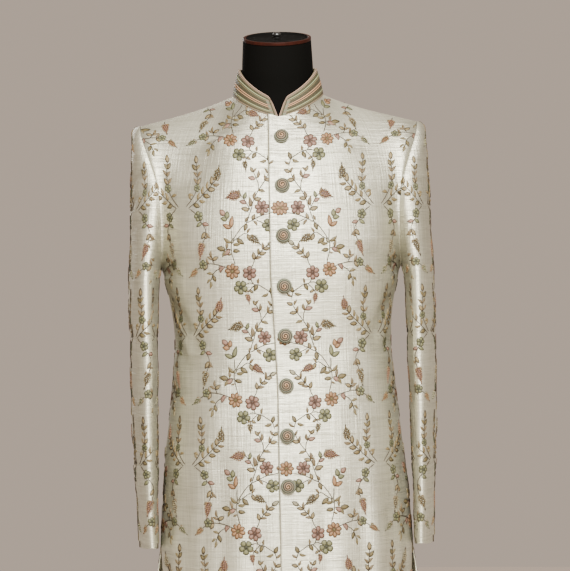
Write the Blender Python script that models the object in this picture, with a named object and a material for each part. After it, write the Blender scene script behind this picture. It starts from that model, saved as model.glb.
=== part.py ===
"""A knee-length sherwani coat standing on a limbless dress form, as separate sewn pieces.

Metres, +Z up, the coat's front towards -Y and the wearer's left towards +X. The origin is on
the floor under the middle of the stand. Every cloth piece is a wall between an outer grid of
points and the same grid moved inwards along its normals.
"""

import math

import bmesh
import bpy
import numpy as np
from mathutils import Matrix, Vector

GAP = 0.0003  # clearance where two pieces meet
CLOTH = 0.0015  # silk with its interlining
COLLAR_CLOTH = 0.0020

# The coat's body: squared ovals from the hem up to just under the armholes.
SECTION_COLUMNS = ("height", "half_width", "front", "back", "squareness")
SECTIONS = (
    (0.450, 0.2060, 0.152, 0.154, 2.10),
    (0.600, 0.1990, 0.147, 0.149, 2.15),
    (0.750, 0.1905, 0.142, 0.145, 2.20),
    (0.860, 0.1845, 0.138, 0.142, 2.25),
    (0.950, 0.1760, 0.131, 0.134, 2.30),
    (1.030, 0.1665, 0.122, 0.120, 2.30),
    (1.100, 0.1620, 0.118, 0.110, 2.30),
    (1.150, 0.1670, 0.124, 0.114, 2.30),
    (1.190, 0.1755, 0.130, 0.121, 2.35),
)
HEM = SECTIONS[0][0]
RING_TOP = SECTIONS[-1][0]
SLIT_TOP = 0.800
SLIT_SPREAD = 0.022  # share by which the front narrows and the back widens beside the open slit
SLIT_EASE = 0.060  # height over which the slit opens
SLIT_HALF_GAP = 0.0022

# Neckline, which is also the collar's lower edge, and the collar's upper edge.
# Each has these values: half width, front and back depth, then its height at front, side, back.
NECKLINE = (0.0675, 0.0780, 0.0560, 1.4235, 1.4625, 1.4740)
COLLAR_TOP = (0.0575, 0.0620, 0.0510, 1.4500, 1.5020, 1.5110)
NOTCH_HALF_TOP = 0.0115  # half the V between the collar's ends, at its top and at its bottom
NOTCH_HALF_BOTTOM = 0.0006
NOTCH_ROUND = 0.0060
COLLAR_CORNER_DROP = 0.0022
COLLAR_BOW = 0.0012  # how far the middle of its height stands out
COLLAR_SEAM = 0.0005

# Shoulder seam, from the neckline to the tip, with the dip of its middle below a straight line.
SHOULDER_TIP = (0.2070, 0.0020, 1.4195)
SHOULDER_DIP = 0.0035
NECK_POINT_TURN = math.radians(96)

# Armhole: an egg-shaped loop, turned from the front through the tip to the back.
ARMHOLE_BOTTOM = 1.2050
ARMHOLE_FRONT = 0.0740
ARMHOLE_BACK = 0.0820
ARMHOLE_X_COLUMNS = ("height", "front_x", "back_x")
ARMHOLE_X = (
    (1.2050, 0.1800, 0.1800),
    (1.2400, 0.1780, 0.1810),
    (1.2900, 0.1770, 0.1835),
    (1.3300, 0.1810, 0.1880),
    (1.3700, 0.1930, 0.1970),
    (1.4000, 0.2030, 0.2040),
    (1.4195, 0.2070, 0.2070),
)

# Where the stretches of the top edge stand over the oval below the armholes.
NECK_POINT_ANGLE = math.radians(25)
TIP_ANGLE = math.radians(44)
ARMHOLE_CROWDING = 1.36  # gathers the columns under the front and back of the armhole
SHOULDER_LEAN = 2.5  # how far a column turns over the shoulder seam as it arrives there
TIP_LEAN = 1.5
TIP_OUTWARDS = 1.5  # and how far it turns outwards towards the tip and the upper armhole
SOFTENING_PASSES = 6
CHEST_SWELL = 0.18
BACK_SWELL = 0.10
FRONT_EDGE_PAST_CENTRE = 0.0095  # the wearer's left front laps over to here
LAP_SHARE = 0.143  # the same edge at the neckline, as a share of the way to the neck point
UNDERLAP_SHARE = 0.2
LAP_LIFT = CLOTH + GAP + 0.0002
LAP_LIFT_FROM = 0.030
LAP_LIFT_TO = 0.075

# Soft folds in the body: troughs inwards where depth is positive, along a line that runs from
# one angle and height to another. Angles are degrees from centre front, on the side named.
# Each row is: side (+1 the wearer's left), angle and height from, angle and height to, width, depth.
FOLDS = (
    (+1, 13, 0.960, 16, 0.300, 0.020, 0.0030),
    (+1, 31, 1.000, 35, 0.300, 0.024, 0.0045),
    (+1, 55, 0.950, 57, 0.300, 0.026, 0.0050),
    (+1, 118, 0.960, 115, 0.300, 0.028, 0.0050),
    (+1, 142, 0.980, 138, 0.300, 0.026, 0.0045),
    (+1, 166, 0.900, 164, 0.300, 0.020, 0.0030),
    (-1, 10, 0.930, 12, 0.300, 0.018, 0.0025),
    (-1, 27, 0.990, 31, 0.300, 0.024, 0.0045),
    (-1, 50, 0.970, 53, 0.300, 0.026, 0.0045),
    (-1, 113, 0.950, 111, 0.300, 0.028, 0.0050),
    (-1, 138, 0.990, 135, 0.300, 0.024, 0.0045),
    (-1, 163, 0.920, 160, 0.300, 0.022, 0.0035),
    (+1, 84, 1.188, 36, 1.222, 0.013, 0.0030),
    (-1, 84, 1.190, 32, 1.216, 0.013, 0.0034),
    (+1, 86, 1.175, 46, 1.085, 0.018, 0.0034),
    (-1, 86, 1.178, 42, 1.075, 0.018, 0.0036),
    (+1, 96, 1.180, 140, 1.225, 0.016, 0.0030),
    (-1, 96, 1.182, 144, 1.220, 0.016, 0.0030),
)
FOLD_RADIUS = 0.165  # turns a fold's angle into a length along the cloth
FOLD_FADE = 0.22

# Sleeves: flat ovals hanging by the body, their front edge turned towards it.
SLEEVE_COLUMNS = ("height", "centre_x", "centre_y", "half_depth", "half_thick", "yaw")
SLEEVE_SECTIONS = (
    (0.7950, 0.2058, -0.0180, 0.0600, 0.0140, 8.0),
    (0.9000, 0.2078, -0.0130, 0.0650, 0.0165, 7.5),
    (1.0000, 0.2088, -0.0080, 0.0705, 0.0190, 7.5),
    (1.1000, 0.2085, -0.0030, 0.0760, 0.0210, 7.0),
    (1.1580, 0.2078, 0.0010, 0.0800, 0.0220, 6.0),
    (1.1900, 0.2067, 0.0030, 0.0820, 0.0226, 5.0),
)
CUFF_DIP = 0.0040  # the hem hangs lower at the middle of its outer side
SLEEVE_SHELF = 0.0125  # how far the sleeve head stands out from the armhole seam at the tip
SLEEVE_SEAM_STEPS = 1  # the seams lie this many armhole steps below the front and back edges

BUTTON_COUNT = 8
BUTTON_TOP_Z = 1.3935
BUTTON_PITCH = 0.0724
BUTTON_X = 0.0040
BUTTON_RADIUS = 0.0110
BUTTON_HEIGHT = 0.0085
BUTTON_SIDES = 12
BUTTON_PROFILE = ((0.76, 0.0), (0.96, 0.14), (1.0, 0.38), (0.90, 0.66), (0.58, 0.92), (0.0, 1.0))

# Dress form and stand.
FORM_BOTTOM = 0.8000
FORM_CLEAR_AT_SHOULDER = CLOTH + 0.0004
FORM_CLEAR_BELOW = 0.0128
FORM_NECK_ROOM = 0.0030
FORM_CLOSE_ABOVE = 1.440
FORM_EASE = 0.160
ARM_PLATE_X = 0.1700
ARM_PLATE_Z = 1.3050
# Each ring of the neck is: rise from the shoulders to the top, half width, front, back, centre y.
NECK_RINGS = (
    (0.00, 0.0580, 0.0625, 0.0515, -0.0040),
    (0.22, 0.0545, 0.0515, 0.0495, -0.0050),
    (0.60, 0.0528, 0.0505, 0.0495, -0.0055),
    (1.00, 0.0512, 0.0495, 0.0490, -0.0060),
)
NECK_TOP_Z = 1.5435
NECK_TOP_SLANT = math.radians(15.5)
CAP_THICK = 0.0050
CAP_RIM = 0.0045
CAP_SINK = 0.0022
KNOB_RADIUS = 0.0062
KNOB_HEIGHT = 0.0095
POLE_RADIUS = 0.0160
BASE_RADIUS = 0.1900
BASE_EDGE = 0.0070
BASE_HUB_RADIUS = 0.0340
BASE_HUB_Z = 0.0260

# How finely each piece is divided.
NECK_STEPS = 5
SHOULDER_STEPS = 4
ARMHOLE_STEPS = 8
SKIRT_ROWS = 8
WAIST_ROWS = 8
CHEST_ROWS = 7
WAIST_FROM = 0.900
SLEEVE_ROWS = 10
HEAD_ROWS = 8
COLLAR_STEPS_EACH_SIDE = 15
COLLAR_ROWS = 3
DENSE = 60


def column(table, names, name):
    """One named column of a table."""
    return np.array([row[names.index(name)] for row in table], float)


def eased(keys, values, at):
    """A smooth curve through the table's values: a cubic between neighbouring rows."""
    slopes = np.gradient(values, keys)
    at = np.clip(at, keys[0], keys[-1])
    i = np.clip(np.searchsorted(keys, at, side="right") - 1, 0, len(keys) - 2)
    step = keys[i + 1] - keys[i]
    t = (at - keys[i]) / step
    low = (1 + 2 * t) * (1 - t) ** 2 * values[i] + t * (1 - t) ** 2 * step * slopes[i]
    high = t * t * (3 - 2 * t) * values[i + 1] + t * t * (t - 1) * step * slopes[i + 1]
    return low + high


def section(name, z):
    heights = column(SECTIONS, SECTION_COLUMNS, "height")
    return eased(heights, column(SECTIONS, SECTION_COLUMNS, name), z)


def smooth(t):
    t = np.clip(t, 0, 1)
    return t * t * (3 - 2 * t)


def power(values, exponent):
    """A power that keeps the sign."""
    return np.sign(values) * np.abs(values) ** exponent


def stack(x, y, z):
    return np.stack(np.broadcast_arrays(x, y, z), axis=-1).astype(float)


def unit(vectors):
    return vectors / np.linalg.norm(vectors, axis=-1, keepdims=True)


def body_ring(angle, z, slit=0.0):
    """The coat's outer face below the armholes. Angle 0 is centre front, pi is centre back."""
    curve = 2 / section("squareness", z)
    depth = np.where(np.cos(angle) > 0, section("front", z), section("back", z))
    open_share = slit * smooth((SLIT_TOP - z) / SLIT_EASE)
    x = section("half_width", z) * (1 + open_share) * power(np.sin(angle), curve)
    y = -depth * power(np.cos(angle), curve)
    return stack(x, y, z)


def angle_at_x(x, z):
    """The angle of the body's oval where it crosses a given x near centre front."""
    share = x / section("half_width", z)
    return np.arcsin(power(share, section("squareness", z) / 2))


def neck_edge(edge, turn):
    """A point of an oval edge round the neck. Turn 0 is the front, pi is the back."""
    half_width, front, back, front_z, side_z, back_z = edge
    y = np.where(np.cos(turn) > 0, -front * np.cos(turn), -back * np.cos(turn))
    to_side = np.abs(np.sin(np.clip(np.abs(turn), 0, math.pi / 2)))
    to_back = smooth((np.abs(turn) - math.pi / 2) / (math.pi / 2))
    rise = 0.55 * np.clip(np.abs(turn) / (math.pi / 2), 0, 1) + 0.45 * to_side**2
    z = front_z + (side_z - front_z) * rise + (back_z - side_z) * to_back
    return stack(half_width * np.sin(turn), y, z)


def armhole(turn):
    """The armhole seam. Turn 0 is its front, a quarter turn the shoulder tip, a half its back."""
    top = SHOULDER_TIP[2]
    z = (top + ARMHOLE_BOTTOM) / 2 + (top - ARMHOLE_BOTTOM) / 2 * power(np.sin(turn), 0.92)
    forward = np.cos(turn) > 0
    deep = np.where(forward, -ARMHOLE_FRONT, -ARMHOLE_BACK)
    y = SHOULDER_TIP[1] + deep * power(np.cos(turn), 0.94)
    heights = column(ARMHOLE_X, ARMHOLE_X_COLUMNS, "height")
    front_x = eased(heights, column(ARMHOLE_X, ARMHOLE_X_COLUMNS, "front_x"), z)
    back_x = eased(heights, column(ARMHOLE_X, ARMHOLE_X_COLUMNS, "back_x"), z)
    return stack(np.where(forward, front_x, back_x), y, z)


def shoulder_seam(share):
    """The seam from the neckline, share 0, to the shoulder tip, share 1."""
    start = neck_edge(NECKLINE, np.array(NECK_POINT_TURN))
    share = np.asarray(share, float)[:, None]
    dip = SHOULDER_DIP * 4 * share * (1 - share) * (1.6 - 1.2 * share)
    return start + (np.array(SHOULDER_TIP) - start) * share - dip * np.array((0, 0, 1))


def centre_shares(past_share):
    """Shares of the way from the centre line to the neck point, from past the centre on."""
    shares = np.linspace(0, 1, NECK_STEPS + 1)
    return np.concatenate(((-past_share,), shares)) if past_share else shares


def top_edge(back, past_share):
    """The body's top edge: its points, the angle each stands over and how far it leans in."""
    neck = centre_shares(past_share)
    shoulder = np.linspace(0, 1, SHOULDER_STEPS + 1)[1:]
    arm = np.linspace(0, 1, ARMHOLE_STEPS + 1)[1:]
    over = np.concatenate((
        neck * NECK_POINT_ANGLE,
        NECK_POINT_ANGLE + shoulder * (TIP_ANGLE - NECK_POINT_ANGLE),
        TIP_ANGLE + arm**ARMHOLE_CROWDING * (math.pi / 2 - TIP_ANGLE),
    ))
    neck_turn = neck * NECK_POINT_TURN
    arm_turn = math.pi / 2 - arm * math.pi
    if back:
        over = math.pi - over
        neck_turn = math.pi - neck * (math.pi - NECK_POINT_TURN)
        arm_turn = math.pi / 2 + arm * math.pi
    points = np.concatenate((neck_edge(NECKLINE, neck_turn), shoulder_seam(shoulder), armhole(arm_turn)))
    upper = np.clip(np.sin(arm_turn), 0, 1)
    lean = np.concatenate((
        0.25 + (SHOULDER_LEAN - 0.25) * np.abs(neck) ** 3,
        SHOULDER_LEAN + (TIP_LEAN - SHOULDER_LEAN) * shoulder**2,
        TIP_LEAN * upper**2,
    ))
    outwards = TIP_OUTWARDS * np.concatenate((0 * neck, shoulder**2, upper**0.7))
    return points, over, lean, outwards


def even_rows(paths, places):
    """Each column of dense points, shape (dense, columns, 3), read at shares of its length."""
    steps = np.linalg.norm(np.diff(paths, axis=0), axis=-1)
    lengths = np.vstack((np.zeros(paths.shape[1]), np.cumsum(steps, axis=0)))
    rows = np.empty((len(places), paths.shape[1], 3))
    for i in range(paths.shape[1]):
        at = places * lengths[-1, i]
        for axis in range(3):
            rows[:, i, axis] = np.interp(at, lengths[:, i], paths[:, i, axis])
    return rows


def chest(back, past_share):
    """Columns from the oval under the armholes to the top edge: cubics that leave the oval
    straight up and lean over the shoulder."""
    ends, over, lean, outwards = top_edge(back, past_share)
    starts = body_ring(over, np.full(len(over), RING_TOP))
    chord = ends - starts
    length = np.linalg.norm(chord, axis=-1, keepdims=True)
    inwards = np.array((0.0, -1.0 if back else 1.0, 0.0))
    swell = (BACK_SWELL if back else CHEST_SWELL) * np.abs(np.cos(over))[:, None]
    spread = stack(0.22 * np.sin(2 * over) ** 2, 0.0, 1.0)
    leave = unit(spread - inwards * swell) * length
    turned_over = lean[:, None] * inwards + outwards[:, None] * np.array((1.0, 0.0, 0.0))
    arrive = unit(chord / length + turned_over) * length * 1.05
    t = np.linspace(0, 1, DENSE)[:, None, None]
    paths = ((1 + 2 * t) * (1 - t) ** 2 * starts + t * (1 - t) ** 2 * leave
             + t * t * (3 - 2 * t) * ends + t * t * (t - 1) * arrive)
    places = np.linspace(0, 1, CHEST_ROWS + 1)
    rows = soften_across(even_rows(paths, places), places)[1:]
    return rows, np.broadcast_to(over, (CHEST_ROWS, len(over)))


def soften_across(rows, places):
    """Evens out the chest from column to column between the neck point and the side seam,
    most at mid height and not at all along its upper and lower edges."""
    columns = rows.shape[1]
    past_neck = np.arange(columns) - (columns - 1 - SHOULDER_STEPS - ARMHOLE_STEPS)
    weight = smooth((past_neck + 2) / 3) * (np.arange(columns) < columns - 1)
    weight = weight[None, :, None] * np.sin(math.pi * places)[:, None, None] ** 0.7
    for _ in range(SOFTENING_PASSES):
        blurred = rows.copy()
        blurred[:, 1:-1] = (rows[:, :-2] + 2 * rows[:, 1:-1] + rows[:, 2:]) / 4
        rows = rows + (blurred - rows) * weight
    return rows


def fold_depth(angle, z):
    """How far the soft folds move the cloth inwards. Positive angles are the wearer's left."""
    total = np.zeros(np.broadcast(angle, z).shape)
    for side, a_from, z_from, a_to, z_to, width, depth in FOLDS:
        run = np.array((side * math.radians(a_to - a_from) * FOLD_RADIUS, z_to - z_from))
        length = np.linalg.norm(run)
        beside = (angle - side * math.radians(a_from) + math.pi) % (2 * math.pi) - math.pi
        across = beside * FOLD_RADIUS
        up = z - z_from
        along = (across * run[0] + up * run[1]) / length**2
        off = (across * run[1] - up * run[0]) / length
        fade = smooth(along / FOLD_FADE) * smooth((1 - along) / FOLD_FADE)
        total += depth * np.exp(-((off / width) ** 2)) * fade
    return total


def grid_normals(grid, outwards_from):
    """Unit normals of a grid, pointing away from the given points."""
    down = np.gradient(grid, axis=0)
    across = np.gradient(grid, axis=1)
    normals = unit(np.cross(down, across))
    facing = np.sum(normals * (grid - outwards_from), axis=-1, keepdims=True)
    return normals * np.sign(np.median(facing))


def skirt_heights():
    low = np.linspace(HEM, WAIST_FROM, SKIRT_ROWS + 1)[:-1]
    return np.concatenate((low, np.linspace(WAIST_FROM, RING_TOP, WAIST_ROWS + 1)))


def body_grid(back, past_share=0.0, past_centre=None):
    """A half of the coat's body on the wearer's left, front or back: points and their angles."""
    upper, upper_angle = chest(back, past_share)
    z = skirt_heights()[:, None]
    angle = np.broadcast_to(upper_angle[0][None, :], (len(z), upper_angle.shape[1])).copy()
    if past_centre is not None:
        lower_edge = angle_at_x(-past_centre, z[:, 0])
        share = smooth((z[:, 0] - 1.0) / (RING_TOP - 1.0))
        angle[:, 0] = lower_edge + (angle[:, 0] - lower_edge) * share
    slit = SLIT_SPREAD if back else -SLIT_SPREAD
    lower = body_ring(angle, np.broadcast_to(z, angle.shape), slit)
    return np.concatenate((lower, upper)), np.concatenate((angle, upper_angle))


def body_halves(past_share, past_centre):
    """The front and back grids of one half with normals that agree along their shared seams."""
    front, front_angle = body_grid(False, past_share, past_centre)
    back, back_angle = body_grid(True)
    axis = np.array((0.0, 0.0, 1.0))
    front_normals = grid_normals(front, front * axis)
    back_normals = grid_normals(back, back * axis)
    seam = unit(front_normals[:, -1] + back_normals[:, -1])
    front_normals[:, -1] = seam
    back_normals[:, -1] = seam
    ridge_columns = SHOULDER_STEPS + 1
    front_ridge = slice(-ARMHOLE_STEPS - ridge_columns, -ARMHOLE_STEPS)
    ridge = unit(front_normals[-1, front_ridge] + back_normals[-1, front_ridge])
    front_normals[-1, front_ridge] = ridge
    back_normals[-1, front_ridge] = ridge
    back_normals[:, 0, 0] = 0
    back_normals[:, 0] = unit(back_normals[:, 0])
    return (front, front_angle, front_normals), (back, back_angle, back_normals)


def pull_in(grid, first_column=0.0, last_column=0.0, first_row=0.0, last_row=0.0):
    """Moves a grid's edges back towards their neighbours, to leave the seams' clearance."""
    moved = grid.copy()
    edges = (
        (np.s_[:, 0], np.s_[:, 1], first_column),
        (np.s_[:, -1], np.s_[:, -2], last_column),
        (np.s_[0], np.s_[1], first_row),
        (np.s_[-1], np.s_[-2], last_row),
    )
    for edge, inner, amount in edges:
        if amount:
            moved[edge] += unit(grid[inner] - grid[edge]) * amount
    return moved


def add_object(name, points, faces, material):
    """A mesh object with smooth shading and clear edges."""
    mesh = bpy.data.meshes.new(name)
    mesh.from_pydata(points, [], faces)
    mesh.materials.append(material)
    made = bpy.data.objects.new(name, mesh)
    bpy.context.scene.collection.objects.link(made)
    build = bmesh.new()
    build.from_mesh(mesh)
    bmesh.ops.remove_doubles(build, verts=build.verts, dist=1e-6)
    bmesh.ops.recalc_face_normals(build, faces=build.faces)
    build.to_mesh(mesh)
    build.free()
    mesh.shade_smooth()
    mesh.set_sharp_from_angle(angle=math.radians(50))
    return made


def grid_faces(rows, columns, first=0):
    """Four-sided faces of a grid of points stored row by row."""
    corner = (np.arange(rows - 1)[:, None] * columns + np.arange(columns - 1)[None, :]).ravel() + first
    return np.stack((corner, corner + 1, corner + columns + 1, corner + columns), axis=1).tolist()


def cloth_piece(name, outer, normals, thickness, material, mirrored=False):
    """A closed wall: the outer grid, the inner grid and a rim round their edges."""
    inner = outer - normals * thickness
    rows, columns = outer.shape[:2]
    count = rows * columns
    ids = np.arange(count).reshape(rows, columns)
    rim = np.concatenate((ids[0, :], ids[1:, -1], ids[-1, -2::-1], ids[-2:0:-1, 0]))
    after = np.roll(rim, -1)
    walls = np.stack((rim, after, after + count, rim + count), axis=1).tolist()
    faces = grid_faces(rows, columns) + grid_faces(rows, columns, count) + walls
    points = np.concatenate((outer.reshape(-1, 3), inner.reshape(-1, 3)))
    if mirrored:
        points = points * np.array((-1.0, 1.0, 1.0))
    return add_object(name, points.tolist(), faces, material)


def turned(name, profile, sides, material):
    """A closed turned piece about +Z from a profile of (radius, z), its ends on the axis."""
    turn = np.arange(sides) * 2 * math.pi / sides
    points = []
    rings = []
    for radius, z in profile:
        start = len(points)
        if radius < 1e-9:
            points.append((0.0, 0.0, z))
            rings.append([start] * sides)
        else:
            points += [(radius * math.cos(a), radius * math.sin(a), z) for a in turn]
            rings.append([start + i for i in range(sides)])
    faces = []
    for low, high in zip(rings, rings[1:]):
        for i in range(sides):
            j = (i + 1) % sides
            face = [low[i], low[j], high[j], high[i]]
            faces.append(list(dict.fromkeys(face)))
    return add_object(name, points, faces, material)


def lapped(front, normals, lift):
    """The overlapping front, lifted off the one beneath near centre front."""
    share = smooth((LAP_LIFT_TO - front[..., 0]) / (LAP_LIFT_TO - LAP_LIFT_FROM))
    return front + normals * (lift * share)[..., None]


def make_body(silk):
    """Two fronts that lap at the centre and two backs joined by a centre-back seam."""
    halves = (
        ("left", +1, LAP_SHARE, FRONT_EDGE_PAST_CENTRE, LAP_LIFT),
        ("right", -1, UNDERLAP_SHARE, None, 0.0),
    )
    for name, side, past_share, past_centre, lift in halves:
        for part, (grid, angle, normals) in zip(("front", "back"), body_halves(past_share, past_centre)):
            seam_normals(grid, normals)
            moved = grid - normals * fold_depth(side * angle, grid[..., 2])[..., None]
            if part == "front":
                moved = lapped(moved, normals, lift)
                moved = pull_in(moved, last_column=GAP / 2, last_row=GAP)
            else:
                moved = pull_in(moved, first_column=GAP / 2, last_column=GAP / 2, last_row=GAP)
            below = smooth((SLIT_TOP - moved[:, -1, 2]) / 0.02) * SLIT_HALF_GAP
            moved[:, -1, 1] += below * (-1 if part == "front" else 1)
            cloth_piece(f"{part}_{name}", moved, normals, CLOTH, silk, mirrored=side < 0)


def armhole_turns():
    """The turns at which the body and the sleeve both have a point, all round the armhole."""
    return np.arange(2 * ARMHOLE_STEPS) * math.pi / ARMHOLE_STEPS


def seam_normals(grid, normals):
    """Turns the body's normals along the armhole towards the sleeve's, so their rims lie flat
    against each other wherever the two run on in nearly one direction."""
    back = grid[0, 1, 1] > 0
    turn = np.linspace(0, 1, ARMHOLE_STEPS + 1)[:-1] * math.pi
    turn = math.pi / 2 + turn if back else math.pi / 2 - turn
    edge = slice(-ARMHOLE_STEPS - 1, -1)
    sleeve = sleeve_end_normals(turn)
    normals[-1, edge] = shared_normal(normals[-1, edge], sleeve)


def shared_normal(own, other):
    alike = np.sum(own * other, axis=-1, keepdims=True)
    return unit(own + other * smooth((alike + 0.1) / 0.5))


def sleeve_end_normals(turn):
    """The sleeve head's own normals where it meets the armhole."""
    step = 0.02
    rows = [sleeve_head(turn + step * side)[-2:] for side in (-1, 1)]
    along = rows[1][-1] - rows[0][-1]
    in_surface = (rows[0][-1] + rows[1][-1] - rows[0][-2] - rows[1][-2]) / 2
    return unit(np.cross(along, in_surface))


def sleeve_section(name, z):
    heights = column(SLEEVE_SECTIONS, SLEEVE_COLUMNS, "height")
    return eased(heights, column(SLEEVE_SECTIONS, SLEEVE_COLUMNS, name), z)


def sleeve_ring(turn, z):
    """The sleeve's outer face. Turn 0 is its front edge, a quarter turn its outer side."""
    forward = sleeve_section("half_depth", z) * np.cos(turn)
    outward = sleeve_section("half_thick", z) * np.sin(turn)
    yaw = np.radians(sleeve_section("yaw", z))
    x = sleeve_section("centre_x", z) + outward * np.cos(yaw) - forward * np.sin(yaw)
    y = sleeve_section("centre_y", z) - forward * np.cos(yaw) - outward * np.sin(yaw)
    return stack(x, y, z)


def sleeve_head(turn):
    """Columns from the sleeve's top oval to the armhole, turning in over a rounded edge."""
    ends = armhole(turn)
    outwards = stack(0.55 + 0.45 * np.sin(turn), -0.34 * np.cos(turn), np.zeros_like(turn))
    ends = ends + outwards * GAP * 2
    starts = sleeve_ring(turn, np.full_like(turn, RING_TOP))
    shelf = outwards * SLEEVE_SHELF * (0.62 + 0.38 * np.sin(turn))[:, None]
    rounding = (0.21 - 0.165 * np.sin(turn))[None, :, None]
    drop = np.linspace(1, 0, DENSE * 4)[:, None, None] ** 2
    corner = np.sqrt(1 - (1 - np.clip(drop / rounding, 0, 1)) ** 2)
    paths = ends + shelf * corner + (starts - ends - shelf) * drop
    places = 1 - (1 - np.linspace(0, 1, HEAD_ROWS + 1)[1:]) ** 1.5
    return even_rows(paths, places)


def sleeve_grid():
    """The whole sleeve, all round from its front seam, its last column over its first."""
    first = -SLEEVE_SEAM_STEPS * math.pi / ARMHOLE_STEPS
    turn = first + np.append(armhole_turns(), 2 * math.pi)
    hem = SLEEVE_SECTIONS[0][0]
    z = np.linspace(hem, RING_TOP, SLEEVE_ROWS + 1)[:, None]
    lower = sleeve_ring(turn[None, :], z + np.zeros_like(turn)[None, :])
    dip = CUFF_DIP * np.abs(np.sin(turn)) * smooth((hem + 0.05 - z) / 0.05)
    lower[..., 2] -= dip
    return np.concatenate((lower, sleeve_head(turn))), turn


def sleeve_normals(grid, turn):
    """Normals of the whole sleeve, which run on over the seam where the columns close up."""
    round_again = np.concatenate((grid[:, -2:-1], grid, grid[:, 1:2]), axis=1)
    middle = grid[:, :-1].mean(axis=1, keepdims=True)
    normals = grid_normals(round_again, middle)[:, 1:-1]
    body = body_end_normals(turn)
    normals[-1] = shared_normal(normals[-1], body)
    return normals


def body_end_normals(turn):
    """The body's own normals along the armhole, read at the sleeve's turns."""
    halves = body_halves(0.0, None)
    known = []
    for (_, _, normals), side in zip(halves, (-1, 1)):
        edge = normals[-1, -ARMHOLE_STEPS - 1 :]
        turns = math.pi / 2 + side * np.linspace(0, math.pi, ARMHOLE_STEPS + 1)
        known.append((turns, edge))
    found = []
    for at in turn:
        wrapped = (at + math.pi / 2) % (2 * math.pi) - math.pi / 2
        turns, edge = known[0] if wrapped <= math.pi / 2 + 1e-6 else known[1]
        found.append(edge[int(np.argmin(np.abs(turns - wrapped)))])
    return np.array(found)


def make_sleeves(silk):
    """Each sleeve is an outer top sleeve and an under sleeve, seamed at its two edges."""
    grid, turn = sleeve_grid()
    normals = sleeve_normals(grid, turn)
    across = ARMHOLE_STEPS + 2 * SLEEVE_SEAM_STEPS
    for name, columns in (("top_sleeve", slice(0, across + 1)), ("under_sleeve", slice(across, None))):
        moved = pull_in(grid[:, columns], first_column=GAP / 2, last_column=GAP / 2)
        for side, mirrored in (("left", False), ("right", True)):
            cloth_piece(f"{name}_{side}", moved, normals[:, columns], CLOTH, silk, mirrored)


def neckline_chords(turn):
    """The fronts' and backs' neckline as they have it: straight between their own points."""
    front = np.linspace(0, 1, NECK_STEPS + 1) * NECK_POINT_TURN
    back = math.pi - np.linspace(1, 0, NECK_STEPS + 1)[1:] * (math.pi - NECK_POINT_TURN)
    known = np.concatenate((front, back))
    points = neck_edge(NECKLINE, known)
    return np.stack([np.interp(turn, known, points[:, axis]) for axis in range(3)], axis=-1)


def make_collar(brocade):
    """A standing band round the neck, its front ends cut to a V with rounded top corners."""
    share = np.linspace(0, 1, COLLAR_STEPS_EACH_SIDE + 1)
    share = share * (0.7 + 0.3 * share)
    rise = np.linspace(0, 1, COLLAR_ROWS + 1)[:, None]
    half_notch = NOTCH_HALF_BOTTOM + (NOTCH_HALF_TOP - NOTCH_HALF_BOTTOM) * rise**1.15
    first = np.arcsin(half_notch / (NECKLINE[0] + (COLLAR_TOP[0] - NECKLINE[0]) * rise))
    turn = first + share[None, :] * (math.pi - first)
    low = neckline_chords(turn)
    high = neck_edge(COLLAR_TOP, turn)
    away = stack(np.sin(turn), -np.cos(turn), np.zeros_like(turn))
    half = low + (high - low) * rise[..., None] + away * (COLLAR_BOW * 4 * rise * (1 - rise))[..., None]
    corner = np.clip((NOTCH_ROUND + NOTCH_HALF_TOP - half[-1, :, 0]) / NOTCH_ROUND, 0, 1)
    half[-1, :, 2] -= np.where(turn[-1] < 1, COLLAR_CORNER_DROP * corner**2, 0)
    grid = np.concatenate((half, half[:, -2::-1] * np.array((-1.0, 1.0, 1.0))), axis=1)
    normals = grid_normals(grid, grid * np.array((0.0, 0.0, 1.0)))
    grid = pull_in(grid, first_row=COLLAR_SEAM)
    return cloth_piece("collar", grid, normals, COLLAR_CLOTH, brocade)


def make_buttons(button_thread):
    """Domed buttons down the overlapping front, each square to the cloth beneath it."""
    for i in range(BUTTON_COUNT):
        z = BUTTON_TOP_Z - i * BUTTON_PITCH
        seat, normal = front_seat(BUTTON_X, z)
        profile = [(0.0, 0.0)] + [(r * BUTTON_RADIUS, h * BUTTON_HEIGHT) for r, h in BUTTON_PROFILE]
        button = turned(f"button_{i + 1}", profile, BUTTON_SIDES, button_thread)
        button.location = (seat + normal * GAP * 1.6).tolist()
        button.rotation_mode = "QUATERNION"
        button.rotation_quaternion = Vector(normal.tolist()).to_track_quat("Z", "Y")


def front_seat(x, z):
    """The overlapping front's outer face at a place near centre front, with its normal."""
    (front, angle, normals), _ = body_halves(LAP_SHARE, FRONT_EDGE_PAST_CENTRE)
    front = front - normals * fold_depth(angle, front[..., 2])[..., None]
    front = lapped(front, normals, LAP_LIFT)
    rows = np.arange(front.shape[0])
    along = np.array([np.interp(x, front[i, :, 0], np.arange(front.shape[1])) for i in rows])
    line = np.array([read_row(front[i], along[i]) for i in rows])
    facing = np.array([read_row(normals[i], along[i]) for i in rows])
    at = np.interp(z, line[:, 2], rows)
    return read_row(line, at), unit(read_row(facing, at))


def read_row(points, at):
    low = int(min(at, len(points) - 2))
    return points[low] + (points[low + 1] - points[low]) * (at - low)


def form_clearance(grid):
    """How far the form lies inside the coat's outer face: close at the shoulders only, with
    room round the neck for the collar."""
    ease = smooth((FORM_CLOSE_ABOVE - grid[..., 2]) / FORM_EASE)
    from_neck = np.hypot(grid[..., 0] / NECKLINE[0], grid[..., 1] / NECKLINE[1])
    neck_room = FORM_NECK_ROOM * smooth((1.45 - from_neck) / 0.35) * (1 - ease)
    return FORM_CLEAR_AT_SHOULDER + (FORM_CLEAR_BELOW - FORM_CLEAR_AT_SHOULDER) * ease + neck_room


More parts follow.
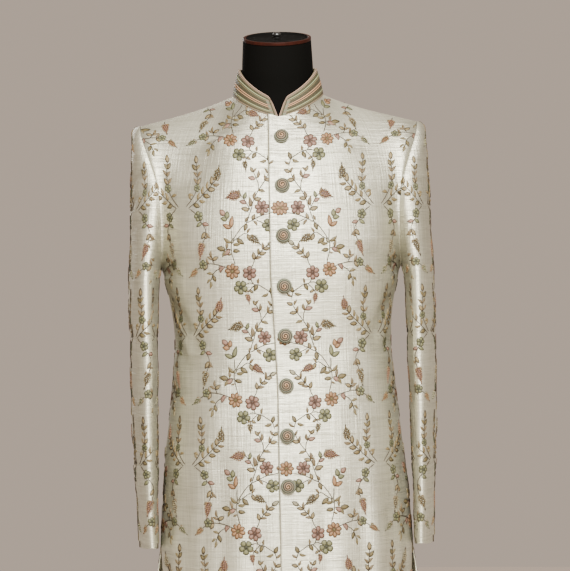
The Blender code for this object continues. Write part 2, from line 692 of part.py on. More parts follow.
def make_form(jersey):
    """The limbless torso and neck: the coat's own half, moved inwards, mirrored and closed."""
    points = []
    faces = []
    halves = body_halves(0.0, None)
    neck_loops = []
    for grid, _, normals in halves:
        inner = grid - normals * form_clearance(grid)[..., None]
        inner[:, 0, 0] = 0
        inner = inner[grid[:, 0, 2] > FORM_BOTTOM + 0.01]
        foot = inner[0].copy()
        foot[:, 2] = FORM_BOTTOM
        inner = np.concatenate((foot[None], inner))
        neck_loops.append(inner[-1, : NECK_STEPS + 1])
        for flip in (1, -1):
            first = len(points)
            points += (inner.reshape(-1, 3) * np.array((flip, 1, 1))).tolist()
            faces += grid_faces(inner.shape[0], inner.shape[1], first)
            centre = len(points)
            points.append([0.0, 0.0, FORM_BOTTOM])
            faces += [[first + i, first + i + 1, centre] for i in range(inner.shape[1] - 1)]
            arm = inner[-1, NECK_STEPS + SHOULDER_STEPS :] * np.array((flip, 1, 1))
            start = len(points)
            points += arm.tolist()
            plate = len(points)
            points.append([flip * ARM_PLATE_X, SHOULDER_TIP[1], ARM_PLATE_Z])
            faces += [[start + i, start + i + 1, plate] for i in range(len(arm) - 1)]
    front_loop, back_loop = neck_loops
    for loop, back in ((front_loop, False), (back_loop, True)):
        turn = np.linspace(math.pi if back else 0.0, NECK_POINT_TURN, NECK_STEPS + 1)
        rings = [loop] + [neck_ring(row, turn) for row in NECK_RINGS]
        neck = np.array(rings)
        neck[:, 0, 0] = 0
        for flip in (1, -1):
            first = len(points)
            points += (neck.reshape(-1, 3) * np.array((flip, 1, 1))).tolist()
            faces += grid_faces(neck.shape[0], neck.shape[1], first)
            top = first + (neck.shape[0] - 1) * neck.shape[1]
            centre = len(points)
            points.append([0.0, NECK_RINGS[-1][4], NECK_TOP_Z])
            faces += [[top + i, top + i + 1, centre] for i in range(neck.shape[1] - 1)]
    return add_object("form_torso", points, faces, jersey)


def neck_ring(row, turn):
    """A ring of the form's neck, from the level ring inside the collar to its slanted top."""
    rise, half_width, front, back, centre_y = row
    y = centre_y - np.where(np.cos(turn) > 0, front, back) * np.cos(turn)
    low = neck_edge(NECKLINE, turn)[:, 2] + 0.004
    high = NECK_TOP_Z + (y - NECK_RINGS[-1][4]) * math.tan(NECK_TOP_SLANT)
    return stack(half_width * np.sin(turn), y, low + (high - low) * rise)


def make_cap(wood, plate):
    """The slanted cap on the neck: a wooden disc with a raised rim, and its knob."""
    _, half_width, front, back, centre_y = NECK_RINGS[-1]
    depth = (front + back) / 2
    rim = 1 - CAP_RIM / half_width
    profile = (
        (0.0, 0.0),
        (0.985, 0.0),
        (1.0, 0.25 * CAP_THICK),
        (1.0, 0.8 * CAP_THICK),
        (0.975, CAP_THICK),
        (rim, CAP_THICK),
        (rim - 0.012, CAP_THICK - CAP_SINK),
        (0.0, CAP_THICK - CAP_SINK),
    )
    cap = turned("neck_cap", profile, 36, wood)
    cap.data.transform(Matrix.Diagonal((half_width, depth / math.cos(NECK_TOP_SLANT), 1.0, 1.0)))
    seat = (0.0, centre_y - (front - back) / 2, NECK_TOP_Z)
    lift = np.array((0.0, -math.sin(NECK_TOP_SLANT), math.cos(NECK_TOP_SLANT)))
    place(cap, np.array(seat) + lift * GAP * 1.5)
    knob_profile = (
        (0.0, 0.0),
        (0.62, 0.0),
        (0.62, 0.30),
        (0.95, 0.45),
        (1.0, 0.68),
        (0.72, 0.92),
        (0.0, 1.0),
    )
    scaled = [(r * KNOB_RADIUS, h * KNOB_HEIGHT) for r, h in knob_profile]
    knob = turned("cap_knob", scaled, 14, plate)
    place(knob, np.array(seat) + lift * (GAP * 3 + CAP_THICK - CAP_SINK))


def place(piece, at):
    """Sets a piece on the neck's slanted top."""
    piece.location = at.tolist()
    piece.rotation_euler = (NECK_TOP_SLANT, 0.0, 0.0)


def make_stand(metal):
    """A pole up to the form and a round base with a domed top."""
    base_profile = (
        (0.0, 0.0),
        (BASE_RADIUS - 0.002, 0.0),
        (BASE_RADIUS, 0.002),
        (BASE_RADIUS, BASE_EDGE - 0.002),
        (BASE_RADIUS - 0.004, BASE_EDGE),
        (BASE_RADIUS * 0.62, 0.0125),
        (BASE_HUB_RADIUS * 1.35, 0.0170),
        (BASE_HUB_RADIUS, 0.0205),
        (BASE_HUB_RADIUS * 0.86, BASE_HUB_Z),
        (0.0, BASE_HUB_Z),
    )
    turned("stand_base", base_profile, 44, metal)
    low = BASE_HUB_Z + GAP
    high = FORM_BOTTOM - GAP
    pole_profile = (
        (0.0, low),
        (POLE_RADIUS, low),
        (POLE_RADIUS, high - 0.030),
        (POLE_RADIUS * 2.1, high - 0.012),
        (POLE_RADIUS * 2.1, high),
        (0.0, high),
    )
    turned("stand_pole", pole_profile, 20, metal)


def new_material(name, color, roughness, metallic=0.0):
    made = bpy.data.materials.new(name)
    made.use_nodes = True
    shader = made.node_tree.nodes["Principled BSDF"]
    shader.inputs["Base Color"].default_value = (*color, 1.0)
    shader.inputs["Roughness"].default_value = roughness
    shader.inputs["Metallic"].default_value = metallic
    return made


def main():
    for old in list(bpy.data.objects):
        bpy.data.objects.remove(old, do_unlink=True)
    silk = new_material("ivory raw silk", (0.72, 0.70, 0.62), 0.55)
    brocade = new_material("corded collar silk", (0.36, 0.29, 0.17), 0.6)
    thread = new_material("button thread", (0.48, 0.32, 0.20), 0.6)
    jersey = new_material("black form jersey", (0.012, 0.012, 0.012), 0.8)
    wood = new_material("polished dark wood", (0.12, 0.05, 0.03), 0.35)
    knob = new_material("black lacquer", (0.01, 0.01, 0.01), 0.25)
    metal = new_material("black painted steel", (0.02, 0.02, 0.02), 0.4)
    make_body(silk)
    make_sleeves(silk)
    make_collar(brocade)
    make_buttons(thread)
    make_form(jersey)
    make_cap(wood, knob)
    make_stand(metal)


main()
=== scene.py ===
"""The looks of a sherwani coat on its dress form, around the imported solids.

Metres, +Z up, the coat's front towards -Y and the wearer's left towards +X. Every cloth panel is
worked out again from the garment's own dimensions, more finely than its solid, and gets its
creases, its chart of cloth coordinates and the embroidery laid on that chart.
"""

import math

import bmesh
import bpy
import numpy as np
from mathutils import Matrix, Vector

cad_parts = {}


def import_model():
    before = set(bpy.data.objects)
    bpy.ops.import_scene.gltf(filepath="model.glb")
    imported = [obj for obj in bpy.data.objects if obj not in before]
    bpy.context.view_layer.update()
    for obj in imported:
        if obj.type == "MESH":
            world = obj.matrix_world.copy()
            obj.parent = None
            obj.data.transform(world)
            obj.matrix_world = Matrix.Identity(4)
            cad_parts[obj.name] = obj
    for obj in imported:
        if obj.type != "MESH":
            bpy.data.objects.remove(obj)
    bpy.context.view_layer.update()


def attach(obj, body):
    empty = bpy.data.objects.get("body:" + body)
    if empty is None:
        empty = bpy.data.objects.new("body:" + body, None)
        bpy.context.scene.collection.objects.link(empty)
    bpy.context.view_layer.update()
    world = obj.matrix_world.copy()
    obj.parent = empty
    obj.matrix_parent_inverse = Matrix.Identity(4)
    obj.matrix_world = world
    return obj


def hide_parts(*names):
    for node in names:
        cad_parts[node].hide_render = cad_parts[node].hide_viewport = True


UP = np.array((0.0, 0.0, 1.0))
MIRROR = np.array((-1.0, 1.0, 1.0))
MILLI = 0.001

# ---- Dimensions of the garment, as its solids have them ----

GAP = 0.0003
CLOTH = 0.0015
COLLAR_CLOTH = 0.0020

SECTION_COLUMNS = ("height", "half_width", "front", "back", "squareness")
SECTIONS = (
    (0.450, 0.2060, 0.152, 0.154, 2.10),
    (0.600, 0.1990, 0.147, 0.149, 2.15),
    (0.750, 0.1905, 0.142, 0.145, 2.20),
    (0.860, 0.1845, 0.138, 0.142, 2.25),
    (0.950, 0.1760, 0.131, 0.134, 2.30),
    (1.030, 0.1665, 0.122, 0.120, 2.30),
    (1.100, 0.1620, 0.118, 0.110, 2.30),
    (1.150, 0.1670, 0.124, 0.114, 2.30),
    (1.190, 0.1755, 0.130, 0.121, 2.35),
)
HEM = SECTIONS[0][0]
RING_TOP = SECTIONS[-1][0]
SLIT_TOP = 0.800
SLIT_SPREAD = 0.022
SLIT_EASE = 0.060
SLIT_HALF_GAP = 0.0022

NECKLINE = (0.0675, 0.0780, 0.0560, 1.4235, 1.4625, 1.4740)
COLLAR_TOP = (0.0575, 0.0620, 0.0510, 1.4500, 1.5020, 1.5110)
STRAIGHT_RISE = 0.55  # the share of the edge's rise to the side that goes evenly with its turn
NOTCH_HALF_TOP = 0.0115
NOTCH_HALF_BOTTOM = 0.0006
NOTCH_ROUND = 0.0060
COLLAR_CORNER_DROP = 0.0022
COLLAR_BOW = 0.0012

SHOULDER_TIP = (0.2070, 0.0020, 1.4195)
SHOULDER_DIP = 0.0035
NECK_POINT_TURN = math.radians(96)

ARMHOLE_BOTTOM = 1.2050
ARMHOLE_FRONT = 0.0740
ARMHOLE_BACK = 0.0820
EGG_POWERS = (0.92, 0.94)
ARMHOLE_X_COLUMNS = ("height", "front_x", "back_x")
ARMHOLE_X = (
    (1.2050, 0.1800, 0.1800),
    (1.2400, 0.1780, 0.1810),
    (1.2900, 0.1770, 0.1835),
    (1.3300, 0.1810, 0.1880),
    (1.3700, 0.1930, 0.1970),
    (1.4000, 0.2030, 0.2040),
    (1.4195, 0.2070, 0.2070),
)

NECK_POINT_ANGLE = math.radians(25)
TIP_ANGLE = math.radians(44)
ARMHOLE_CROWDING = 1.36
SHOULDER_LEAN = 2.5
TIP_LEAN = 1.5
TIP_OUTWARDS = 1.5
CENTRE_LEAN = 0.25
CHEST_SPREAD = 0.22
CHEST_REACH = 1.05
SOFTENING_PASSES = 6
CHEST_SWELL = 0.18
BACK_SWELL = 0.10
FRONT_EDGE_PAST_CENTRE = 0.0095
LAP_SHARE = 0.143
UNDERLAP_SHARE = 0.2
LAP_LIFT = CLOTH + GAP + 0.0002
LAP_LIFT_FROM = 0.030
LAP_LIFT_TO = 0.075

# Broad folds: side, angle and height from, angle and height to, width, depth.
FOLDS = (
    (+1, 13, 0.960, 16, 0.300, 0.020, 0.0030),
    (+1, 31, 1.000, 35, 0.300, 0.024, 0.0045),
    (+1, 55, 0.950, 57, 0.300, 0.026, 0.0050),
    (+1, 118, 0.960, 115, 0.300, 0.028, 0.0050),
    (+1, 142, 0.980, 138, 0.300, 0.026, 0.0045),
    (+1, 166, 0.900, 164, 0.300, 0.020, 0.0030),
    (-1, 10, 0.930, 12, 0.300, 0.018, 0.0025),
    (-1, 27, 0.990, 31, 0.300, 0.024, 0.0045),
    (-1, 50, 0.970, 53, 0.300, 0.026, 0.0045),
    (-1, 113, 0.950, 111, 0.300, 0.028, 0.0050),
    (-1, 138, 0.990, 135, 0.300, 0.024, 0.0045),
    (-1, 163, 0.920, 160, 0.300, 0.022, 0.0035),
    (+1, 84, 1.188, 36, 1.222, 0.013, 0.0030),
    (-1, 84, 1.190, 32, 1.216, 0.013, 0.0034),
    (+1, 86, 1.175, 46, 1.085, 0.018, 0.0034),
    (-1, 86, 1.178, 42, 1.075, 0.018, 0.0036),
    (+1, 96, 1.180, 140, 1.225, 0.016, 0.0030),
    (-1, 96, 1.182, 144, 1.220, 0.016, 0.0030),
)
FOLD_RADIUS = 0.165
FOLD_FADE = 0.22

SLEEVE_COLUMNS = ("height", "centre_x", "centre_y", "half_depth", "half_thick", "yaw")
SLEEVE_SECTIONS = (
    (0.7950, 0.2058, -0.0180, 0.0600, 0.0140, 8.0),
    (0.9000, 0.2078, -0.0130, 0.0650, 0.0165, 7.5),
    (1.0000, 0.2088, -0.0080, 0.0705, 0.0190, 7.5),
    (1.1000, 0.2085, -0.0030, 0.0760, 0.0210, 7.0),
    (1.1580, 0.2078, 0.0010, 0.0800, 0.0220, 6.0),
    (1.1900, 0.2067, 0.0030, 0.0820, 0.0226, 5.0),
)
CUFF_DIP = 0.0040  # the outer and inner sides of the cuff hang this much lower
CUFF_DIP_HEIGHT = 0.05
SLEEVE_SHELF = 0.0125  # the head stands out this far over the seam at the shoulder tip
HEAD_FORWARDS = 0.34
HEAD_ROUNDING = (0.21, 0.165)  # share of the drop that the head's rounded edge takes
SLEEVE_SEAM_TURN = math.radians(22.5)

BUTTON_COUNT = 8
BUTTON_TOP_Z = 1.3935
BUTTON_PITCH = 0.0724
BUTTON_X = 0.0040
BUTTON_RADIUS = 0.0110
BUTTON_HEIGHT = 0.0085

FORM_BOTTOM = 0.8000
FORM_CLEAR_AT_SHOULDER = CLOTH + 0.0004
FORM_CLEAR_BELOW = 0.0128
FORM_NECK_ROOM = 0.0030
NECK_ROOM_FROM, NECK_ROOM_TO = 1.10, 1.45  # times the neckline's own size
FORM_ARM_SHARES = (0.950, 0.780)  # the most of the coat's width and depth that it takes there
FORM_ARM_DROP = 0.0030
FORM_ARM_FROM = 0.1200
FORM_ARM_EASE = 0.0500
FORM_CLOSE_ABOVE = 1.440
FORM_EASE = 0.160
ARM_PLATE_X = 0.1700
ARM_PLATE_Z = 1.3050
# Rings of the neck: share of its height, half width, front, back, centre towards the back.
NECK_RINGS = (
    (0.00, 0.0580, 0.0625, 0.0515, -0.0040),
    (0.22, 0.0545, 0.0515, 0.0495, -0.0050),
    (0.60, 0.0528, 0.0505, 0.0495, -0.0055),
    (1.00, 0.0512, 0.0495, 0.0490, -0.0060),
)
NECK_TOP_Z = 1.5435
NECK_TOP_SLANT = math.radians(15.5)
CAP_THICK = 0.0050
CAP_RIM = 0.0045
CAP_SINK = 0.0022
CAP_BEVEL = 0.012  # of its half width
CAP_PLATE_EDGE = (0.0468, 0.0460)
KNOB_RADIUS = 0.0062
KNOB_HEIGHT = 0.0095
KNOB_PROFILE = ((0.0, 0.0), (0.62, 0.0), (0.60, 0.24), (0.78, 0.36), (0.96, 0.50), (1.0, 0.66),
                (0.86, 0.86), (0.5, 0.97), (0.0, 1.0))
POLE_RADIUS = 0.0160
BASE_RADIUS = 0.1900
BASE_EDGE = 0.0070
BASE_HUB_RADIUS = 0.0340
BASE_HUB_Z = 0.0260

# The overlapping front edge, in metres from the edge unless said otherwise.
FRONT_EDGE_STAND = 0.0030  # the overlapping edge stands this far off, fading over its width
FRONT_EDGE_STAND_WIDTH = 0.028
FRONT_EDGE_ROUND = 0.0013
FRONT_EDGE_TURN = 0.0045  # the outer face starts to turn down this far from the edge
FRONT_EDGE_CURL = 0.0026  # and both faces curl in by this, over the last part
FRONT_EDGE_CURL_WIDTH = 0.0030
FRONT_EDGE_PLACES = (0, 0.1, 0.22, 0.36, 0.52, 0.72, 1, 1.4, 2)  # extra columns beside the edge

YOKE_FROM = 1.270  # above this the chart is drawn in a little, since the chest leans back
YOKE_TO = 1.400
YOKE_PULL = 0.011

# How finely the panels are divided: fine steps for each step of the solids.
FINE = 4
NECK_STEPS = 5 * FINE
SHOULDER_STEPS = 4 * FINE
ARMHOLE_STEPS = 8 * FINE
PAST_CENTRE_STEPS = FINE
LOWER_ROWS = 104
CHEST_ROWS = 36
SLEEVE_ROWS = 66
HEAD_ROWS = 40
DENSE = 160  # points along each curve that rows are read from

# ---- Small maths on whole arrays ----


def column(table, names, name):
    """One named column of a table."""
    return np.array([row[names.index(name)] for row in table], float)


def read_table(table, names, name, at):
    """A named column of a table, read smoothly between its rows by its first column."""
    return eased(column(table, names, names[0]), column(table, names, name), at)


def eased(keys, values, at):
    """A smooth curve through the table's values: a cubic between neighbouring rows."""
    slopes = np.gradient(values, keys)
    at = np.clip(at, keys[0], keys[-1])
    i = np.clip(np.searchsorted(keys, at, side="right") - 1, 0, len(keys) - 2)
    step = keys[i + 1] - keys[i]
    t = (at - keys[i]) / step
    low = (1 + 2 * t) * (1 - t) ** 2 * values[i] + t * (1 - t) ** 2 * step * slopes[i]
    high = t * t * (3 - 2 * t) * values[i + 1] + t * t * (t - 1) * step * slopes[i + 1]
    return low + high


def linear(*srgb):
    """A linear colour from an sRGB one in 0 to 255."""
    c = np.array(srgb, float) / 255
    return tuple(np.where(c <= 0.04045, c / 12.92, ((c + 0.055) / 1.055) ** 2.4).tolist())


def smooth(t):
    """0 below 0, 1 above 1, and 3t^2 - 2t^3 between."""
    t = np.clip(t, 0, 1)
    return t * t * (3 - 2 * t)


def power(values, exponent):
    """A power that keeps the sign."""
    return np.sign(values) * np.abs(values) ** exponent


def stack(x, y, z):
    return np.stack(np.broadcast_arrays(x, y, z), axis=-1).astype(float)


def unit(vectors):
    return vectors / np.maximum(np.linalg.norm(vectors, axis=-1, keepdims=True), 1e-12)


def grid_normals(grid, outwards_from):
    """Unit normals of a grid, pointing away from the given points."""
    normals = unit(np.cross(np.gradient(grid, axis=0), np.gradient(grid, axis=1)))
    facing = np.sum(normals * (grid - outwards_from), axis=-1, keepdims=True)
    return normals * np.sign(np.median(facing))


def even_rows(paths, places):
    """Each column of dense points, shape (dense, columns, 3), read at shares of its length."""
    steps = np.linalg.norm(np.diff(paths, axis=0), axis=-1)
    lengths = np.vstack((np.zeros(paths.shape[1]), np.cumsum(steps, axis=0)))
    rows = np.empty((len(places), paths.shape[1], 3))
    for i in range(paths.shape[1]):
        at = places * lengths[-1, i]
        for axis in range(3):
            rows[:, i, axis] = np.interp(at, lengths[:, i], paths[:, i, axis])
    return rows


def run_along(path):
    """Length along a path up to each of its points."""
    return np.concatenate(([0.0], np.cumsum(np.linalg.norm(np.diff(path, axis=0), axis=-1))))


def smooth_path(points, step):
    """A curve through the points, a Catmull-Rom cubic between neighbours, read at even steps."""
    points = np.asarray(points, float)
    padded = np.concatenate((2 * points[:1] - points[1:2], points, 2 * points[-1:] - points[-2:-1]))
    t = np.linspace(0, 1, 9)[:, None, None]
    a, b, c, d = (padded[i : len(padded) - 3 + i] for i in range(4))
    curve = 0.5 * (2 * b + (c - a) * t + (2 * a - 5 * b + 4 * c - d) * t**2
                   + (3 * b - a - 3 * c + d) * t**3)
    curve = np.concatenate((curve[:-1].transpose(1, 0, 2).reshape(-1, points.shape[1]), points[-1:]))
    length = run_along(curve)
    keep = np.concatenate(([True], np.diff(length) > 1e-9))
    curve, length = curve[keep], length[keep]
    at = np.linspace(0, length[-1], max(2, int(round(length[-1] / step)) + 1))
    return np.stack([np.interp(at, length, curve[:, k]) for k in range(points.shape[1])], axis=-1)


# ---- The coat's body ----


def section(name, z):
    """One of the body's dimensions at a height."""
    return read_table(SECTIONS, SECTION_COLUMNS, name, z)


def body_ring(angle, z, slit=0.0):
    """A squared oval: x goes with sin(angle) and y with -cos(angle), each to the power 2/n."""
    curve = 2 / section("squareness", z)
    depth = np.where(np.cos(angle) > 0, section("front", z), section("back", z))
    open_share = slit * smooth((SLIT_TOP - z) / SLIT_EASE)
    x = section("half_width", z) * (1 + open_share) * power(np.sin(angle), curve)
    return stack(x, -depth * power(np.cos(angle), curve), z)


def angle_at_x(x, z):
    """The angle of the body's oval where it crosses a given x near centre front."""
    return np.arcsin(power(x / section("half_width", z), section("squareness", z) / 2))


def neck_edge(edge, turn):
    """An oval edge round the neck: x goes with sin(turn) and y with -cos(turn), and it rises from
    front to side to back. Turn 0 is the front."""
    half_width, front, back, front_z, side_z, back_z = edge
    y = np.where(np.cos(turn) > 0, -front * np.cos(turn), -back * np.cos(turn))
    to_side = np.abs(np.sin(np.clip(np.abs(turn), 0, math.pi / 2)))
    to_back = smooth((np.abs(turn) - math.pi / 2) / (math.pi / 2))
    rise = STRAIGHT_RISE * np.clip(np.abs(turn) / (math.pi / 2), 0, 1) + (1 - STRAIGHT_RISE) * to_side**2
    z = front_z + (side_z - front_z) * rise + (back_z - side_z) * to_back
    return stack(half_width * np.sin(turn), y, z)


def armhole(turn):
    """An egg-shaped loop: height goes with sin(turn) and depth with cos(turn), each to a power.
    Turn 0 is its front, a quarter turn the shoulder tip, a half its back."""
    top = SHOULDER_TIP[2]
    z = (top + ARMHOLE_BOTTOM) / 2 + (top - ARMHOLE_BOTTOM) / 2 * power(np.sin(turn), EGG_POWERS[0])
    forward = np.cos(turn) > 0
    reach = np.where(forward, -ARMHOLE_FRONT, -ARMHOLE_BACK)
    y = SHOULDER_TIP[1] + reach * power(np.cos(turn), EGG_POWERS[1])
    front_x, back_x = (read_table(ARMHOLE_X, ARMHOLE_X_COLUMNS, name, z) for name in ("front_x", "back_x"))
    return stack(np.where(forward, front_x, back_x), y, z)


def shoulder_seam(share):
    """A straight seam from the neckline to the shoulder tip, dipping between its ends."""
    start = neck_edge(NECKLINE, np.array(NECK_POINT_TURN))
    share = np.asarray(share, float)[:, None]
    dip = SHOULDER_DIP * 4 * share * (1 - share) * (1.6 - 1.2 * share)
    return start + (np.array(SHOULDER_TIP) - start) * share - dip * UP


def centre_shares(past_share):
    """Shares of the way from the centre line to the neck point, from past the centre on."""
    shares = np.linspace(0, 1, NECK_STEPS + 1)
    if not past_share:
        return shares
    return np.concatenate((-past_share * np.linspace(1, 0, PAST_CENTRE_STEPS + 1)[:-1], shares))


def top_edge(back, past_share):
    """The body's top edge: its points, the angle each stands over and how far it leans in."""
    neck = centre_shares(past_share)
    shoulder = np.linspace(0, 1, SHOULDER_STEPS + 1)[1:]
    arm = np.linspace(0, 1, ARMHOLE_STEPS + 1)[1:]
    over = np.concatenate((
        neck * NECK_POINT_ANGLE,
        NECK_POINT_ANGLE + shoulder * (TIP_ANGLE - NECK_POINT_ANGLE),
        TIP_ANGLE + arm**ARMHOLE_CROWDING * (math.pi / 2 - TIP_ANGLE),
    ))
    neck_turn = neck * NECK_POINT_TURN
    arm_turn = math.pi / 2 - arm * math.pi
    if back:
        over = math.pi - over
        neck_turn = math.pi - neck * (math.pi - NECK_POINT_TURN)
        arm_turn = math.pi / 2 + arm * math.pi
    points = np.concatenate((neck_edge(NECKLINE, neck_turn), shoulder_seam(shoulder), armhole(arm_turn)))
    upper = np.clip(np.sin(arm_turn), 0, 1)
    lean = np.concatenate((
        CENTRE_LEAN + (SHOULDER_LEAN - CENTRE_LEAN) * np.sin(math.pi / 2 * np.abs(neck)) ** 4,
        SHOULDER_LEAN + (TIP_LEAN - SHOULDER_LEAN) * shoulder**2,
        TIP_LEAN * upper**2,
    ))
    outwards = TIP_OUTWARDS * np.concatenate((0 * neck, shoulder**2, upper**0.7))
    return points, over, lean, outwards


def soften_across(rows, places):
    """Evens out the chest from column to column between the centre line and the side seam,
    most at mid height and not at all along its upper and lower edges."""
    columns = rows.shape[1]
    past_centre = np.arange(columns) - (columns - 1 - SHOULDER_STEPS - ARMHOLE_STEPS - NECK_STEPS)
    weight = smooth(past_centre / (0.4 * NECK_STEPS)) * (np.arange(columns) < columns - 1)
    weight = weight[None, :, None] * np.sin(math.pi * places)[:, None, None] ** 0.7
    for _ in range(SOFTENING_PASSES * FINE**2):
        blurred = rows.copy()
        blurred[:, 1:-1] = (rows[:, :-2] + 2 * rows[:, 1:-1] + rows[:, 2:]) / 4
        rows = rows + (blurred - rows) * weight
    return rows


def chest(back, past_share):
    """Columns from the oval under the armholes to the top edge: cubics that leave the oval
    straight up and lean over the shoulder."""
    ends, over, lean, outwards = top_edge(back, past_share)
    starts = body_ring(over, np.full(len(over), RING_TOP))
    chord = ends - starts
    length = np.linalg.norm(chord, axis=-1, keepdims=True)
    inwards = np.array((0.0, -1.0 if back else 1.0, 0.0))
    swell = (BACK_SWELL if back else CHEST_SWELL) * np.abs(np.cos(over))[:, None]
    spread = stack(CHEST_SPREAD * np.sin(2 * over) ** 2, 0.0, 1.0)
    leave = unit(spread - inwards * swell) * length
    turned_over = lean[:, None] * inwards + outwards[:, None] * np.array((1.0, 0.0, 0.0))
    arrive = unit(chord / length + turned_over) * length * CHEST_REACH
    t = np.linspace(0, 1, DENSE)[:, None, None]
    paths = ((1 + 2 * t) * (1 - t) ** 2 * starts + t * (1 - t) ** 2 * leave
             + t * t * (3 - 2 * t) * ends + t * t * (t - 1) * arrive)
    places = np.linspace(0, 1, CHEST_ROWS + 1)
    return soften_across(even_rows(paths, places), places)[1:], over


def fold_depth(angle, z):
    """How far the broad folds move the cloth inwards: a bell across each fold's line, faded at
    its ends. Positive angles are the wearer's left."""
    total = np.zeros(np.broadcast(angle, z).shape)
    for side, a_from, z_from, a_to, z_to, width, depth in FOLDS:
        run = np.array((side * math.radians(a_to - a_from) * FOLD_RADIUS, z_to - z_from))
        length = np.linalg.norm(run)
        beside = (angle - side * math.radians(a_from) + math.pi) % (2 * math.pi) - math.pi
        across = beside * FOLD_RADIUS
        along = (across * run[0] + (z - z_from) * run[1]) / length**2
        off = (across * run[1] - (z - z_from) * run[0]) / length
        fade = smooth(along / FOLD_FADE) * smooth((1 - along) / FOLD_FADE)
        total += depth * np.exp(-((off / width) ** 2)) * fade
    return total


def body_grid(back, past_share=0.0, past_centre=None):
    """A half of the coat's body on the wearer's left, front or back: points and their angles."""
    upper, over = chest(back, past_share)
    z = np.linspace(HEM, RING_TOP, LOWER_ROWS + 1)[:, None]
    angle = np.tile(over, (len(z), 1))
    if past_centre is not None:
        edge = angle_at_x(-past_centre, z[:, 0])
        share = smooth((z[:, 0] - 1.0) / (RING_TOP - 1.0))
        edge = edge + (over[0] - edge) * share
        angle[:, :PAST_CENTRE_STEPS] = edge[:, None] * (over[:PAST_CENTRE_STEPS] / over[0])[None, :]
    slit = SLIT_SPREAD if back else -SLIT_SPREAD
    lower = body_ring(angle, z + 0 * angle, slit)
    return np.concatenate((lower, upper)), np.concatenate((angle, np.tile(over, (len(upper), 1))))


def body_halves(past_share, past_centre):
    """The front and back grids of one half with normals that agree along their shared seams."""
    front, front_angle = body_grid(False, past_share, past_centre)
    back, back_angle = body_grid(True)
    front_normals = grid_normals(front, front * UP)
    back_normals = grid_normals(back, back * UP)
    seam = unit(front_normals[:, -1] + back_normals[:, -1])
    front_normals[:, -1] = seam
    back_normals[:, -1] = seam
    ridge_at = slice(-ARMHOLE_STEPS - SHOULDER_STEPS - 1, -ARMHOLE_STEPS)
    ridge = unit(front_normals[-1, ridge_at] + back_normals[-1, ridge_at])
    front_normals[-1, ridge_at] = ridge
    back_normals[-1, ridge_at] = ridge
    back_normals[:, 0, 0] = 0
    back_normals[:, 0] = unit(back_normals[:, 0])
    return (front, front_angle, front_normals), (back, back_angle, back_normals)


def pull_in(grid, first_column=0.0, last_column=0.0, first_row=0.0, last_row=0.0):
    """Moves a grid's edges back towards their neighbours, to leave the seams' clearance."""
    moved = grid.copy()
    edges = (
        (np.s_[:, 0], np.s_[:, 1], first_column),
        (np.s_[:, -1], np.s_[:, -2], last_column),
        (np.s_[0], np.s_[1], first_row),
        (np.s_[-1], np.s_[-2], last_row),
    )
    for edge, inner, amount in edges:
        if amount:
            moved[edge] += unit(grid[inner] - grid[edge]) * amount
    return moved


def shared_normal(own, other):
    """A normal between two surfaces' own where they nearly agree, and its own where they don't."""
    alike = np.sum(own * other, axis=-1, keepdims=True)
    return unit(own + other * smooth((alike + 0.1) / 0.5))


def lapped(front, normals, lift):
    """The overlapping front, lifted off the one beneath near centre front."""
    share = smooth((LAP_LIFT_TO - front[..., 0]) / (LAP_LIFT_TO - LAP_LIFT_FROM))
    return front + normals * (lift * share)[..., None]


# ---- Sleeves and collar ----


def sleeve_section(name, z):
    """One of the sleeve's dimensions at a height."""
    return read_table(SLEEVE_SECTIONS, SLEEVE_COLUMNS, name, z)


def sleeve_ring(turn, z):
    """A flat oval turned by its yaw. Turn 0 is its front edge, a quarter turn its outer side."""
    forward = sleeve_section("half_depth", z) * np.cos(turn)
    outward = sleeve_section("half_thick", z) * np.sin(turn)
    yaw = np.radians(sleeve_section("yaw", z))
    x = sleeve_section("centre_x", z) + outward * np.cos(yaw) - forward * np.sin(yaw)
    y = sleeve_section("centre_y", z) - forward * np.cos(yaw) - outward * np.sin(yaw)
    return stack(x, y, z)


def sleeve_head(turn, rows=HEAD_ROWS):
    """Columns from the sleeve's top oval to the armhole, turning in over a rounded edge."""
    outwards = stack(0.55 + 0.45 * np.sin(turn), -HEAD_FORWARDS * np.cos(turn), np.zeros_like(turn))
    ends = armhole(turn) + outwards * GAP * 2
    starts = sleeve_ring(turn, np.full_like(turn, RING_TOP))
    shelf = outwards * SLEEVE_SHELF * (0.62 + 0.38 * np.sin(turn))[:, None]
    rounding = (HEAD_ROUNDING[0] - HEAD_ROUNDING[1] * np.sin(turn))[None, :, None]
    drop = np.linspace(1, 0, DENSE * 2)[:, None, None] ** 2
    corner = np.sqrt(1 - (1 - np.clip(drop / rounding, 0, 1)) ** 2)
    paths = ends + shelf * corner + (starts - ends - shelf) * drop
    return even_rows(paths, 1 - (1 - np.linspace(0, 1, rows + 1)[1:]) ** 1.5)


def sleeve_turns():
    """The turns of the sleeve's columns, all round from its front seam; the body shares them."""
    return -SLEEVE_SEAM_TURN + np.linspace(0, 2 * math.pi, 2 * ARMHOLE_STEPS + 1)


def sleeve_grid():
    """The whole sleeve, its last column over its first."""
    turn = sleeve_turns()
    hem = SLEEVE_SECTIONS[0][0]
    z = np.linspace(hem, RING_TOP, SLEEVE_ROWS + 1)[:, None]
    lower = sleeve_ring(turn[None, :], z + 0 * turn[None, :])
    lower[..., 2] -= CUFF_DIP * np.abs(np.sin(turn)) * smooth(1 - (z - hem) / CUFF_DIP_HEIGHT)
    return np.concatenate((lower, sleeve_head(turn)))


